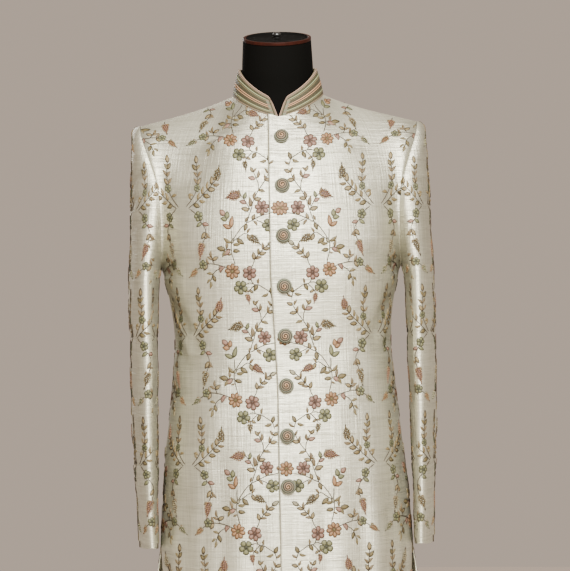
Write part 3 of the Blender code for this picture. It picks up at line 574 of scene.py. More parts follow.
def armhole_edge(grids):
    """Normals of the front and back panels along the armhole, with the turns they stand at."""
    turns = np.linspace(0, math.pi, ARMHOLE_STEPS + 1)
    (_, _, front), (_, _, back) = grids
    front_edge = front[-1, -ARMHOLE_STEPS - 1 :]
    back_edge = back[-1, -ARMHOLE_STEPS - 1 :]
    at = np.concatenate(((math.pi / 2 - turns)[::-1], (math.pi / 2 + turns)[1:]))
    return at, np.concatenate((front_edge[::-1], back_edge[1:]))


def normals_round(turn, known_turns, known):
    """Normals read at any turn from those known round the armhole."""
    wrapped = (turn + math.pi / 2) % (2 * math.pi) - math.pi / 2
    return unit(np.stack([np.interp(wrapped, known_turns, known[:, k]) for k in range(3)], axis=-1))


def sleeve_end_normals(turn):
    """The sleeve head's own normals where it meets the armhole."""
    step = 0.02
    before, after = (sleeve_head(turn + step * side)[-2:] for side in (-1, 1))
    in_surface = (before[-1] + after[-1] - before[-2] - after[-2]) / 2
    return unit(np.cross(after[-1] - before[-1], in_surface))


def seam_normals(normals, back):
    """Turns a panel's normals along the armhole towards the sleeve's."""
    turn = np.linspace(0, 1, ARMHOLE_STEPS + 1)[:-1] * math.pi
    turn = math.pi / 2 + turn if back else math.pi / 2 - turn
    edge = slice(-ARMHOLE_STEPS - 1, -1)
    normals[-1, edge] = shared_normal(normals[-1, edge], sleeve_end_normals(turn))


def sleeve_normals(grid):
    """Normals of the whole sleeve, which run on over the seam where the columns close up."""
    round_again = np.concatenate((grid[:, -2:-1], grid, grid[:, 1:2]), axis=1)
    normals = grid_normals(round_again, grid[:, :-1].mean(axis=1, keepdims=True))[:, 1:-1]
    body = normals_round(sleeve_turns(), *armhole_edge(body_halves(0.0, None)))
    normals[-1] = shared_normal(normals[-1], body)
    return normals


def collar_half(turn_share, rise):
    """Half of the collar's outer face. The share runs from its front edge to centre back, the
    rise from its seam to its top edge; its middle bows out and its top front corner is rounded."""
    half_notch = NOTCH_HALF_BOTTOM + (NOTCH_HALF_TOP - NOTCH_HALF_BOTTOM) * rise**1.15
    first = np.arcsin(half_notch / (NECKLINE[0] + (COLLAR_TOP[0] - NECKLINE[0]) * rise))
    turn = first + turn_share * (math.pi - first)
    low = neck_edge(NECKLINE, turn)
    high = neck_edge(COLLAR_TOP, turn)
    away = stack(np.sin(turn), -np.cos(turn), np.zeros_like(turn))
    points = low + (high - low) * rise[..., None] + away * (COLLAR_BOW * 4 * rise * (1 - rise))[..., None]
    corner = np.clip((NOTCH_ROUND + NOTCH_HALF_TOP - points[..., 0]) / NOTCH_ROUND, 0, 1)
    drop = np.where(turn < 1, COLLAR_CORNER_DROP * corner**2, 0) * smooth((rise - 0.6) / 0.4)
    points[..., 2] -= drop
    return points


# ---- Creases and the chart of cloth coordinates ----

# Fine creases on each panel's chart, in millimetres across from the centre line (or, on a
# sleeve, from its front edge round the outer side) and up: from across and up, to across and up,
# width, depth.
CREASES = {
    "front_left": (
        (236, 1190, 120, 1238, 6.5, 1.6),
        (232, 1172, 150, 1130, 7.5, 1.6),
        (228, 1150, 165, 1060, 9, 1.6),
        (230, 1100, 130, 1070, 8, 1.1),
        (225, 1050, 110, 1020, 10, 1.1),
        (185, 1300, 120, 1345, 11, 1),
        (60, 900, 52, 560, 12, 1.2),
        (120, 930, 126, 520, 13, 1.3),
        (200, 960, 206, 600, 12, 1.3),
    ),
    "front_right": (
        (236, 1192, 115, 1230, 6.5, 1.8),
        (233, 1176, 140, 1118, 8, 1.8),
        (230, 1155, 150, 1050, 9, 1.7),
        (228, 1090, 120, 1055, 8.5, 1.2),
        (215, 1030, 100, 1010, 10, 1),
        (180, 1310, 115, 1350, 11, 0.9),
        (48, 880, 60, 540, 12, 1.2),
        (128, 940, 118, 500, 13, 1.4),
        (196, 950, 200, 580, 12, 1.2),
    ),
    "back_left": (
        (232, 1190, 130, 1245, 8, 1.6),
        (228, 1160, 120, 1150, 9, 1.3),
        (220, 1090, 60, 1075, 10, 1.3),
        (210, 1040, 80, 1048, 9, 1),
        (90, 930, 84, 560, 13, 1.3),
        (175, 940, 180, 540, 13, 1.3),
    ),
    "back_right": (
        (232, 1192, 124, 1240, 8, 1.7),
        (226, 1150, 110, 1138, 9, 1.3),
        (222, 1085, 70, 1078, 10, 1.2),
        (205, 1035, 90, 1040, 9, 1.1),
        (82, 920, 90, 540, 13, 1.2),
        (168, 950, 160, 560, 13, 1.4),
    ),
    "sleeve_left": (
        (0, 1345, 55, 1300, 6.5, 1.4),
        (-10, 1318, 45, 1268, 7.5, 1.2),
        (10, 1110, 110, 1090, 7, 1.1),
        (20, 1060, 130, 1082, 8, 1.1),
        (-60, 1085, 30, 1062, 8, 1.2),
        (30, 960, 130, 930, 9, 1),
        (80, 1290, 150, 1330, 9, 1.2),
    ),
    "sleeve_right": (
        (-5, 1362, 60, 1318, 6.5, 1.8),
        (-12, 1338, 62, 1286, 7, 1.8),
        (-15, 1310, 50, 1250, 8, 1.3),
        (15, 1120, 120, 1098, 7.5, 1.1),
        (10, 1050, 120, 1075, 8, 1),
        (-60, 1078, 30, 1050, 8, 1.2),
        (40, 950, 140, 925, 9, 1),
        (80, 1300, 150, 1340, 9, 1.2),
    ),
}
CREASE_FADE = 0.3
CREASE_GAIN = 1.45
CREASE_WAVER = 0.0035
UNEVEN = 0.0007  # how far the cloth stands above and below a true surface everywhere
CRUMPLE = 0.00016  # the same for puckers a few centimetres long
SEAM_EASE = 0.012  # creases die out over this distance from a seam
BLOCK = 20000  # points looked up at a time


def crease_depth(panel, across, up):
    """Sum of bells across each crease's line, which wavers a little, each faded at its ends."""
    total = np.zeros(across.shape)
    for row in CREASES.get(panel, ()):
        a_from, u_from, a_to, u_to, width, depth = (value * MILLI for value in row)
        run = np.array((a_to - a_from, u_to - u_from))
        length = np.linalg.norm(run)
        along = ((across - a_from) * run[0] + (up - u_from) * run[1]) / length**2
        off = ((across - a_from) * run[1] - (up - u_from) * run[0]) / length
        off = off + CREASE_WAVER * np.sin(along * 4.0 + a_from * 90)
        fade = smooth(along / CREASE_FADE) * smooth((1 - along) / CREASE_FADE)
        total += CREASE_GAIN * depth * np.exp(-((off / width) ** 2)) * fade
    return total


def unevenness(across, up, seed):
    """Slow ripples from a few sine waves that run at odd angles to each other."""
    waves = ((38, 9, 0.3), (17, -31, 1.9), (61, 22, 4.1), (-29, 47, 2.6), (9, 83, 5.2))
    total = sum(np.sin(across * a + up * b + c + seed) for a, b, c in waves)
    small = ((64, 158, 0.9), (-97, 124, 2.2), (152, 46, 3.7), (118, -88, 5.5))
    puckers = sum(np.sin(across * a + up * b + c + seed) for a, b, c in small)
    where = 0.6 + 0.4 * np.sin(across * 23 - up * 13 + seed * 2.1)
    return UNEVEN * total / 2 + CRUMPLE * where * puckers


def chart(grid, normals, centre_column, outwards):
    """Cloth coordinates of a panel. On level rows they are the length along the row from the
    centre column and the height; above, each step adds its run along the weft, which stays
    level, and along the warp, which is square to it."""
    weft = unit(np.cross(UP, normals)) * outwards
    warp = np.cross(normals, weft) * outwards
    steps = np.linalg.norm(np.diff(grid, axis=1), axis=-1)
    across = np.concatenate((np.zeros((len(grid), 1)), np.cumsum(steps, axis=1)), axis=1)
    across = across - across[:, centre_column][:, None]
    up = grid[..., 2].copy()
    level = int(np.sum(np.ptp(grid[..., 2], axis=1) < 0.006))
    for row in range(level, len(grid)):
        step = grid[row] - grid[row - 1]
        across[row] = across[row - 1] + np.sum(step * (weft[row] + weft[row - 1]) / 2, axis=-1)
        up[row] = up[row - 1] + np.sum(step * (warp[row] + warp[row - 1]) / 2, axis=-1)
    return np.stack((across, up), axis=-1)


def ripple(name, grid, normals, cloth, seed, edges):
    """The grid with its creases and unevenness, which die out towards the seams named."""
    rows, columns = grid.shape[:2]
    share = np.ones((rows, columns))
    for edge in edges:
        line = {"first": grid[:, :1], "last": grid[:, -1:], "top": grid[-1:]}[edge]
        share *= smooth(np.linalg.norm(grid - line, axis=-1) / SEAM_EASE)
    moved = crease_depth(name, cloth[..., 0], cloth[..., 1])
    moved = moved + unevenness(cloth[..., 0], cloth[..., 1], seed)
    return grid - normals * (moved * share)[..., None]


def read_grid(values, row, column_at):
    """Values between grid points, two ways straight, and their changes per row and column."""
    r = np.clip(np.floor(row).astype(int), 0, values.shape[0] - 2)
    c = np.clip(np.floor(column_at).astype(int), 0, values.shape[1] - 2)
    fr = (row - r)[:, None]
    fc = (column_at - c)[:, None]
    a, b = values[r, c], values[r, c + 1]
    d, e = values[r + 1, c], values[r + 1, c + 1]
    per_row = (d - a) * (1 - fc) + (e - b) * fc
    per_column = (b - a) * (1 - fr) + (e - d) * fr
    return a + (b - a) * fc + per_row * fr, per_row, per_column


def find_place(cloth, wanted):
    """Row and column of each pair of cloth coordinates: the nearest of a sparse sample of grid
    points, then Newton steps on the two-way straight grid."""
    coarse = cloth[::5, ::3].reshape(-1, 2)
    rows, columns = cloth.shape[:2]
    at_row, at_column = np.meshgrid(np.arange(0, rows, 5), np.arange(0, columns, 3), indexing="ij")
    nearest = np.empty(len(wanted), int)
    for first in range(0, len(wanted), BLOCK):
        block = wanted[first : first + BLOCK]
        apart = (block[:, :1] - coarse[:, 0]) ** 2 + (block[:, 1:] - coarse[:, 1]) ** 2
        nearest[first : first + BLOCK] = np.argmin(apart, axis=1)
    row = at_row.ravel()[nearest].astype(float)
    col = at_column.ravel()[nearest].astype(float)
    for _ in range(8):
        found, per_row, per_column = read_grid(cloth, row, col)
        miss = wanted - found
        det = per_row[:, 0] * per_column[:, 1] - per_row[:, 1] * per_column[:, 0]
        det = np.where(np.abs(det) < 1e-10, 1e-10, det)
        step_row = (miss[:, 0] * per_column[:, 1] - miss[:, 1] * per_column[:, 0]) / det
        step_col = (per_row[:, 0] * miss[:, 1] - per_row[:, 1] * miss[:, 0]) / det
        row = np.clip(row + np.clip(step_row, -6, 6), -8, rows + 8)
        col = np.clip(col + np.clip(step_col, -6, 6), -8, columns + 8)
    return row, col


# ---- Meshes ----


def mesh_object(name, points, quads, triangles=None, uv=None, thread=None, material=None):
    """A smooth mesh from arrays. A map of (u, v) and a thread colour may be given per point."""
    quads = np.asarray(quads, np.int32).reshape(-1, 4)
    triangles = np.zeros((0, 3), np.int32) if triangles is None else np.asarray(triangles, np.int32)
    corners = np.concatenate((quads.ravel(), triangles.ravel()))
    sizes = np.concatenate((np.full(len(quads), 4), np.full(len(triangles), 3))).astype(np.int32)
    mesh = bpy.data.meshes.new(name)
    mesh.vertices.add(len(points))
    mesh.vertices.foreach_set("co", np.asarray(points, np.float32).ravel())
    mesh.loops.add(len(corners))
    mesh.loops.foreach_set("vertex_index", corners.astype(np.int32))
    mesh.polygons.add(len(sizes))
    mesh.polygons.foreach_set("loop_start", np.concatenate(([0], np.cumsum(sizes)[:-1])).astype(np.int32))
    mesh.polygons.foreach_set("loop_total", sizes)
    mesh.update(calc_edges=True)
    if uv is not None:
        layer = mesh.uv_layers.new(name="cloth")
        layer.data.foreach_set("uv", np.asarray(uv, np.float32)[corners].ravel())
    if thread is not None:
        colours = mesh.color_attributes.new("thread", "FLOAT_COLOR", "POINT")
        colours.data.foreach_set("color", np.concatenate((thread, np.ones((len(thread), 1))), axis=1)
                                 .astype(np.float32).ravel())
    mesh.validate()
    mesh.shade_smooth()
    made = bpy.data.objects.new(name, mesh)
    bpy.context.scene.collection.objects.link(made)
    if material is not None:
        mesh.materials.append(material)
    return made


def grid_quads(rows, columns, first=0, wrap=False):
    """Four-sided faces of a grid of points stored row by row, closed round if asked."""
    across = np.arange(columns if wrap else columns - 1)
    corner = np.arange(rows - 1)[:, None] * columns
    a = (corner + across).ravel() + first
    b = (corner + (across + 1) % columns).ravel() + first
    return np.stack((a, b, b + columns, a + columns), axis=1)


def shell(name, outer, normals, thickness, cloth, material, mirrored=False, thread=None):
    """A closed wall of cloth: the outer grid, the same grid moved in along the normals, and a rim
    of faces round their edges."""
    rows, columns = outer.shape[:2]
    count = rows * columns
    inner = outer - normals * np.asarray(thickness)[..., None]
    ids = np.arange(count).reshape(rows, columns)
    rim = np.concatenate((ids[0, :], ids[1:, -1], ids[-1, -2::-1], ids[-2:0:-1, 0]))
    after = np.roll(rim, -1)
    faces = (
        grid_quads(rows, columns)[:, ::-1],
        grid_quads(rows, columns, count),
        np.stack((rim, after, after + count, rim + count), axis=1),
    )
    points = np.concatenate((outer.reshape(-1, 3), inner.reshape(-1, 3)))
    quads = np.concatenate(faces)
    sample = quads[count // 4]
    a, b, d = points[sample[[0, 1, 3]]]
    facing = np.dot(np.cross(b - a, d - a), normals.reshape(-1, 3)[sample[0]])
    if (facing < 0) != mirrored:
        quads = quads[:, ::-1]
    uv = np.tile(cloth.reshape(-1, 2), (2, 1))
    if mirrored:
        points = points * MIRROR
        uv = uv * np.array((-1.0, 1.0))
    made = mesh_object(name, points, quads, uv=uv, thread=thread, material=material)
    made.data.set_sharp_from_angle(angle=math.radians(50))
    return made


# ---- Embroidery ----

THREADS = {
    "brown": linear(42, 31, 18),
    "tan": linear(86, 71, 46),
    "khaki": linear(86, 74, 45),
    "olive": linear(47, 39, 22),
    "gold": linear(94, 79, 48),
    "pale_gold": linear(108, 93, 62),
    "cream": linear(123, 116, 93),
    "rose": linear(73, 51, 38),
    "pale_rose": linear(109, 81, 67),
    "pink": linear(116, 88, 72),
    "orange": linear(78, 54, 32),
    "peach": linear(120, 89, 59),
    "moss": linear(54, 53, 34),
    "sage": linear(92, 90, 60),
}

# One repeat of the vine, in millimetres on the chart: across from the centre line, and up.
REPEAT_UP = 188.0
REPEAT_ACROSS = 150.0  # each repeat across is the mirror image of the one before
STEMS = (
    ((70, -146), (63, -135), (55, -125), (49, -120), (45, -109),
     (41, -98), (38, -88), (31, -75), (22, -63), (16, -52)),
    ((49, -120), (40, -116), (28, -110), (10, -106)),
    ((36, -115), (28, -119), (20, -122)),
    ((43, -102), (48, -93), (53, -85), (59, -79)),
    ((31, -75), (31, -66), (34, -58), (38, -50)),
    ((70, -146), (71, -138), (71, -129)),
    ((70, -146), (61, -141), (52, -135), (44, -139)),
    ((71, 42), (72, 34), (71, 24), (67, 9)),
    ((71, 29), (76, 31), (82, 30)),
    ((46, -2), (40, 9), (38, 15), (30, 25), (21, 34), (13, 40)),
    ((71, 0), (85, 6), (97, 9), (108, 10), (117, 8), (128, 2)),
    ((98, 9), (101, 14), (102, 20)),
    ((86, 4), (94, 1), (101, -5), (106, -18)),
    ((46, -8), (41, -20), (33, -22), (25, -27), (17, -33), (14, -43)),
    ((38, -21), (46, -29), (50, -35)),
    ((52, -21), (46, -19), (41, -20)),
    ((139, -97), (126, -88), (112, -76), (101, -66), (94, -59)),
    ((143, -95), (132, -83), (126, -72), (125, -56), (126, -42), (127, -31)),
    ((137, -98), (127, -105), (120, -115), (112, -126), (111, -133), (113, -142), (116, -148)),
)

# Across, up, direction, length, thread.
LEAVES = (
    (50, -119, 118, 8, "brown"), (49, -121, -75, 10, "olive"), (38, -88, 98, 10, "brown"),
    (38, -88, 168, 9, "brown"), (31, -75, -165, 10, "olive"), (22, -63, 88, 9, "brown"),
    (21, -62, 178, 9, "brown"), (17, -53, 62, 8, "brown"), (16, -52, 165, 8, "brown"),
    (33, -60, 98, 10, "brown"), (34, -59, 12, 10, "plum"), (38, -51, 60, 7, "brown"),
    (38, -51, 125, 7, "brown"), (40, -116, 112, 8, "brown"), (39, -116, -128, 9, "brown"),
    (29, -110, 140, 7, "brown"), (44, -102, 12, 11, "brown"), (44, -98, 88, 13, "brown"),
    (49, -91, 18, 9, "plum"), (52, -86, 104, 8, "pale_sage"), (57, -81, 66, 8, "brown"),
    (63, -143, -140, 11, "olive"), (49, -136, 128, 8, "brown"), (48, -137, -118, 9, "brown"),
    (71, -149, 42, 12, "olive"), (70, -151, 172, 11, "olive"), (71, -150, 118, 7, "cream"),
    (79, 31, 78, 10, "brown"), (81, 30, 8, 12, "olive"), (79, 29, -52, 10, "olive"),
    (74, 30, -32, 11, "plum"), (70, 28, -172, 9, "olive"), (71, 24, -20, 6, "brown"),
    (38, 15, 78, 9, "brown"), (37, 16, 170, 9, "brown"), (33, 22, 84, 9, "olive"),
    (32, 23, 174, 9, "brown"), (27, 29, 88, 9, "brown"), (26, 30, 178, 9, "brown"),
    (19, 35, 146, 10, "cream"), (84, 6, -42, 8, "plum"), (88, 7, -78, 9, "plum"),
    (108, 10, 70, 9, "brown"), (109, 10, -58, 9, "brown"), (102, 18, 90, 9, "brown"),
    (101, 15, 30, 9, "brown"), (101, 15, 152, 9, "brown"), (101, -5, 12, 9, "olive"),
    (102, -7, -112, 9, "olive"), (105, -12, -40, 8, "olive"), (106, -15, -78, 10, "olive"),
    (34, -22, -62, 9, "olive"), (33, -22, 98, 8, "brown"), (17, -33, 112, 9, "olive"),
    (18, -34, -16, 10, "olive"), (15, -40, 140, 8, "brown"), (47, -30, -150, 6, "brown"),
    (47, -30, -20, 6, "brown"), (101, -66, 92, 10, "brown"), (100, -66, 178, 10, "brown"),
    (108, -72, 96, 10, "gold"), (107, -73, -176, 10, "brown"), (115, -79, 98, 10, "gold"),
    (114, -80, -172, 10, "gold"), (123, -86, 100, 10, "gold"), (122, -87, -170, 10, "gold"),
    (131, -92, -160, 10, "olive"), (126, -64, 48, 9, "brown"), (126, -64, 132, 9, "brown"),
    (125, -54, 50, 9, "brown"), (125, -54, 130, 9, "brown"), (126, -44, 52, 9, "olive"),
    (126, -44, 128, 9, "olive"), (127, -35, 90, 10, "brown"), (134, -86, 70, 9, "gold"),
    (130, -80, 10, 9, "gold"), (116, -119, -170, 9, "plum"), (118, -118, -30, 9, "pale_sage"),
    (111, -132, -52, 10, "brown"), (111, -132, -128, 10, "brown"), (113, -142, 160, 7, "brown"),
)

# Across, up, radius, petals, turn, threads.
FLOWERS = (
    (71, -1, 11.0, 8, 10, "orange"),
    (46, -5, 10.5, 6, 25, "rose"),
    (59, -25, 10.0, 5, 50, "sage"),
    (2, -100, 10.5, 8, 0, "orange"),
    (26, -99, 10.5, 7, 15, "rose"),
    (18, -124, 9.8, 5, 70, "sage"),
    (117, 9, 6.5, 5, 20, "sage"),
    (125, -70, 5.5, 5, 40, "sage"),
    (122, -109, 7.0, 5, 0, "sage"),
)

# Across, up, direction, length, width, threads.
BUDS = (
    (44, -139, 214, 20, 13, "rose"),
    (58, -79, -12, 22, 15, "gold"),
    (50, -35, -100, 15, 8, "rose"),
    (94, -60, 98, 21, 13, "rose"),
    (116, -147, -74, 25, 11, "gold"),
    (128, 2, -36, 18, 10, "orange"),
)

# A lotus bud beside the stem: two outer petals, two inner ones and an oval at its tip. Across
# and up from its foot, direction, length, width, threads.
LOTUS_AT = (73, -127)
LOTUS = (
    (0, 0, 101, 17, 6.5, "sage"), (0, 0, 24, 13, 6.5, "sage"),
    (5, 14.5, 98, 10.5, 7, "orange"), (4, 12.5, 14, 10.5, 7, "orange"),
    (9, 19, 44, 10.5, 8, "pink"),
)

PETAL_THREADS = {  # outline, filling, centre
    "orange": ("orange", "peach", "gold"),
    "rose": ("rose", "pale_rose", "rose"),
    "sage": ("moss", "sage", "moss"),
    "gold": ("brown", "gold", "orange"),
    "pink": ("rose", "pink", "rose"),
}
STROKE_THREADS = {"brown": "tan", "olive": "khaki", "gold": "gold"}
LEAF_THREADS = {  # outline, filling
    "brown": ("brown", "pale_gold"),
    "olive": ("olive", "khaki"),
    "gold": ("brown", "gold"),
    "plum": ("rose", "pink"),
    "cream": ("olive", "cream"),
    "pale_sage": ("moss", "sage"),
}

PALER = {"gold": "cream", "pale_rose": "peach", "peach": "pale_gold", "sage": "cream"}
SWAPPED = {"rose": "gold", "gold": "rose", "orange": "sage", "sage": "orange"}  # in every other repeat

FOOT = -0.15  # how deep every stitched shape is rooted in the cloth, in millimetres
LEAF_WIDTH = 0.54  # of its length
PETAL_WIDTH = 0.74
BUD_NOTCH = 0.16
STROKE_WIDTH = 0.44
STROKE_BEND = 0.10
STROKE_LONGER = 1.22  # than its row in the table
LEAF_LONGER = 1.16
SEPAL_LENGTH = 0.36  # of its bud's
SEPAL_BEND = 0.16
SEPAL_TURN = 42  # degrees from the bud's direction
KNOT_ROWS_APART = 3.2
KNOTS_APART = 3.0
KNOT_RADIUS = 1.45
OUTLINE_CORD = 0.6  # half width of an outlining cord, in millimetres
STEM_CORD = 0.80
STEM_STEP = 3.0
STEM_TIP = 0.35
CORD_HEIGHT = 0.9
STROKE_HEIGHT = 1.25
LEAF_FILLING = 0.6
PETAL_FILLING = 0.8
BUD_FILLING = 0.7
FLOWER_CENTRE = 0.2  # of its radius
JITTER_PLACE = 0.8
JITTER_TURN = 7.0
JITTER_SIZE = 0.05
TINT_STRAY = 0.08  # how far a shape's threads are lighter or darker than their colour
STRAY = 15  # a shape whose middle lies this far off the panel, in millimetres, is left out
EDGE_MISS = 0.0015  # a point further than this off a panel is cut away
MISSED_SHARE = 0.3  # a shape of which more than this is cut away is left out
STRETCH = 1.6  # and so is one with a side drawn out by this
MIRROR_LINE = 132.0  # a mirrored repeat leaves out what lies beyond this, beside its neighbour


def leaf_outline(count=8):
    """Points round a leaf of unit length: width goes with sin(pi x^0.8), pointed at its tip."""
    x = 0.5 - 0.5 * np.cos(np.linspace(0, math.pi, count // 2 + 1))
    half = LEAF_WIDTH / 2 * np.sin(math.pi * x**0.8) ** 0.85
    upper = np.stack((x, half), axis=-1)
    return np.concatenate((upper, (upper * (1, -1))[-2:0:-1]))


def oval(count):
    """Turns round an oval of unit length, and how far along each point lies."""
    turn = np.linspace(0, 2 * math.pi, count + 1)[:-1]
    return turn, 0.5 - 0.5 * np.cos(turn)


def petal_outline(count=9):
    """Points round a petal of unit length: an oval whose width grows evenly from foot to end."""
    turn, x = oval(count)
    return np.stack((x, PETAL_WIDTH / 2 * np.sin(turn) * (0.45 + 0.55 * x)), axis=-1)


def bud_outline(count=14):
    """Points round a bud of unit length: an oval that narrows evenly towards its tip, every other
    point of it drawn in."""
    turn, x = oval(count)
    notch = 1 - BUD_NOTCH * (np.arange(count) % 2)
    return np.stack((x, 0.5 * np.sin(turn) * (1.15 - 0.75 * x) * notch), axis=-1)


def three_sided(path, ahead, half_width, height):
    """Points of a low cord along a flat path, foot, crest and foot at each, with their numbers
    and their (round, along) map."""
    out = np.stack((ahead[:, 1], -ahead[:, 0]), axis=-1) * half_width
    points = np.empty((len(path), 3, 3))
    points[..., :2] = np.stack((path + out, path, path - out), axis=1)
    points[..., 2] = (FOOT, height, FOOT)
    uv = np.stack((np.tile((0.0, 0.5, 1.0), len(path)), np.repeat(run_along(path), 3)), axis=-1)
    return points.reshape(-1, 3), np.arange(len(path) * 3).reshape(-1, 3), uv


def three_sides(ids, after):
    """The faces between each three numbered points and the three after them."""
    sides = [np.stack((ids[:, k], after[:, k], after[:, k - 2], ids[:, k - 2]), axis=1) for k in range(3)]
    return np.concatenate(sides)


def cord_round(outline, half_width, height):
    """A closed cord along an outline."""
    ahead = unit(np.roll(outline, -1, axis=0) - np.roll(outline, 1, axis=0))
    points, ids, uv = three_sided(outline, ahead, half_width, height)
    return points, three_sides(ids, np.roll(ids, -1, axis=0)), np.zeros((0, 3), int), uv


def pad(outline, height):
    """A raised filling: the outline sunk in the cloth, a ring at half its size, a middle point
    on top and one beneath."""
    count = len(outline)
    middle = outline.mean(axis=0)
    ring = middle + (outline - middle) * 0.55
    points = np.concatenate((
        np.concatenate((outline, np.full((count, 1), FOOT)), axis=1),
        np.concatenate((ring, np.full((count, 1), height * 0.85)), axis=1),
        [(*middle, height), (*middle, FOOT * 1.6)],
    ))
    ids = np.arange(count)
    after = np.roll(ids, -1)
    quads = np.stack((ids, after, after + count, ids + count), axis=1)
    top = np.stack((ids + count, after + count, np.full(count, 2 * count)), axis=1)
    under = np.stack((after, ids, np.full(count, 2 * count + 1)), axis=1)
    return points, quads, np.concatenate((top, under)), points[:, :2] * 1.0


def bead(x, y, radius, height):
    """A small bead: four feet, a top and a point beneath."""
    turn = np.arange(4) * math.pi / 2
    feet = stack(x + radius * np.cos(turn), y + radius * np.sin(turn), height * 0.45)
    points = np.concatenate((feet, [(x, y, height), (x, y, FOOT)]))
    after = (1, 2, 3, 0)
    triangles = [(i, after[i], 4) for i in range(4)] + [(after[i], i, 5) for i in range(4)]
    return points, np.zeros((0, 4), int), np.array(triangles), points[:, :2] * 1.0


def gather(parts):
    """Joins (points, quads, triangles, uv) parts, each with its thread number, into one shape."""
    points, quads, triangles, uvs, threads = [], [], [], [], []
    first = 0
    for (part_points, part_quads, part_triangles, uv), thread in parts:
        points.append(part_points)
        quads.append(part_quads + first)
        triangles.append(part_triangles + first)
        uvs.append(uv)
        threads.append(np.full(len(part_points), thread))
        first += len(part_points)
    return tuple(np.concatenate(x) for x in (points, quads, triangles, uvs, threads))


def turned_by(part, degrees, move=(0.0, 0.0)):
    """A flat part turned about its own origin and moved."""
    points, quads, triangles, uv = part
    c, s = math.cos(math.radians(degrees)), math.sin(math.radians(degrees))
    turned = points.copy()
    turned[:, 0] = points[:, 0] * c - points[:, 1] * s + move[0]
    turned[:, 1] = points[:, 0] * s + points[:, 1] * c + move[1]
    return turned, quads, triangles, uv


def leaf_shape(length):
    """A leaf in millimetres: an outlining cord (thread 0) round a satin filling (thread 1)."""
    outline = leaf_outline() * length
    edge = cord_round(outline, OUTLINE_CORD, CORD_HEIGHT)
    return gather(((pad(outline, LEAF_FILLING), 1), (edge, 0)))


def stroke_shape(length, bend=STROKE_BEND):
    """A leaf that is one thick tapering stroke of floss (0), bent to one side as a parabola."""
    outline = leaf_outline() * (length, length * STROKE_WIDTH / LEAF_WIDTH)
    outline[:, 1] += bend * length * 4 * (outline[:, 0] / length) * (1 - outline[:, 0] / length)
    return gather(((pad(outline, STROKE_HEIGHT), 0),))


def flower_shape(radius, petals):
    """Petals round a centre. Each has a filling (1) and an outline (0); the centre is a coil (2)."""
    parts = []
    inner = FLOWER_CENTRE * radius
    outline = petal_outline() * (radius - inner) * (1, 9.0 / petals)
    for i in range(petals):
        turn = 360.0 * i / petals
        at = (inner * math.cos(math.radians(turn)), inner * math.sin(math.radians(turn)))
        parts.append((turned_by(pad(outline, PETAL_FILLING), turn, at), 1))
        parts.append((turned_by(cord_round(outline, OUTLINE_CORD, CORD_HEIGHT * 1.1), turn, at), 0))
    ring = np.arange(7) * 2 * math.pi / 7
    ring = np.stack((np.cos(ring), np.sin(ring)), axis=-1) * inner
    parts.append((pad(ring * 0.8, 1.5), 2))
    parts.append((cord_round(ring, OUTLINE_CORD * 1.1, 1.35), 2))
    return gather(parts)


def bud_shape(length, width):
    """A bud of knotted rows on a filled ground (0): knots of two threads (1 and 2) side by side,
    fewer towards its tip, which ends in a fine stroke."""
    outline = bud_outline() * (length * 0.9, width)
    parts = [(pad(outline, BUD_FILLING), 0)]
    rows = max(3, int(round(length / KNOT_ROWS_APART)))
    for row in range(rows):
        share = (row + 0.6) / (rows + 0.4)
        across = width * 0.5 * math.sin(math.pi * min(share**0.75, 1.0)) ** 0.8
        count = max(1, int(round(2 * across / KNOTS_APART)))
        for k in range(count):
            y = (k - (count - 1) / 2) * 2 * across / max(count, 1)
            knot = bead(share * length * 0.92, y, KNOT_RADIUS, 1.9 - 0.5 * share)
            parts.append((knot, 1 + (row + k) % 2))
    tip = stroke_shape(length * 0.25, 0.0)
    parts.append((turned_by(tip[:4], 0.0, (length * 0.82, 0.0)), 0))
    return gather(parts)


def lotus_petal(length, width):
    """A broad pointed petal: a filling (1) and its outline (0)."""
    outline = leaf_outline(10) * (length, width / LEAF_WIDTH)
    edge = cord_round(outline, OUTLINE_CORD * 1.15, CORD_HEIGHT)
    return gather(((pad(outline, BUD_FILLING), 1), (edge, 0)))


def stem_shape(path):
    """A fine cord along a path in millimetres, narrow and closed at its ends, all of thread 0."""
    path = smooth_path(path, STEM_STEP)
    half_width = np.full((len(path), 1), STEM_CORD)
    half_width[[0, -1]] *= STEM_TIP
    points, ids, uv = three_sided(path, unit(np.gradient(path, axis=0)), half_width, CORD_HEIGHT * 0.9)
    ends = np.array((ids[0, [0, 2, 1]], ids[-1]))
    return points, three_sides(ids[:-1], ids[1:]), ends, uv, np.zeros(len(points), int)


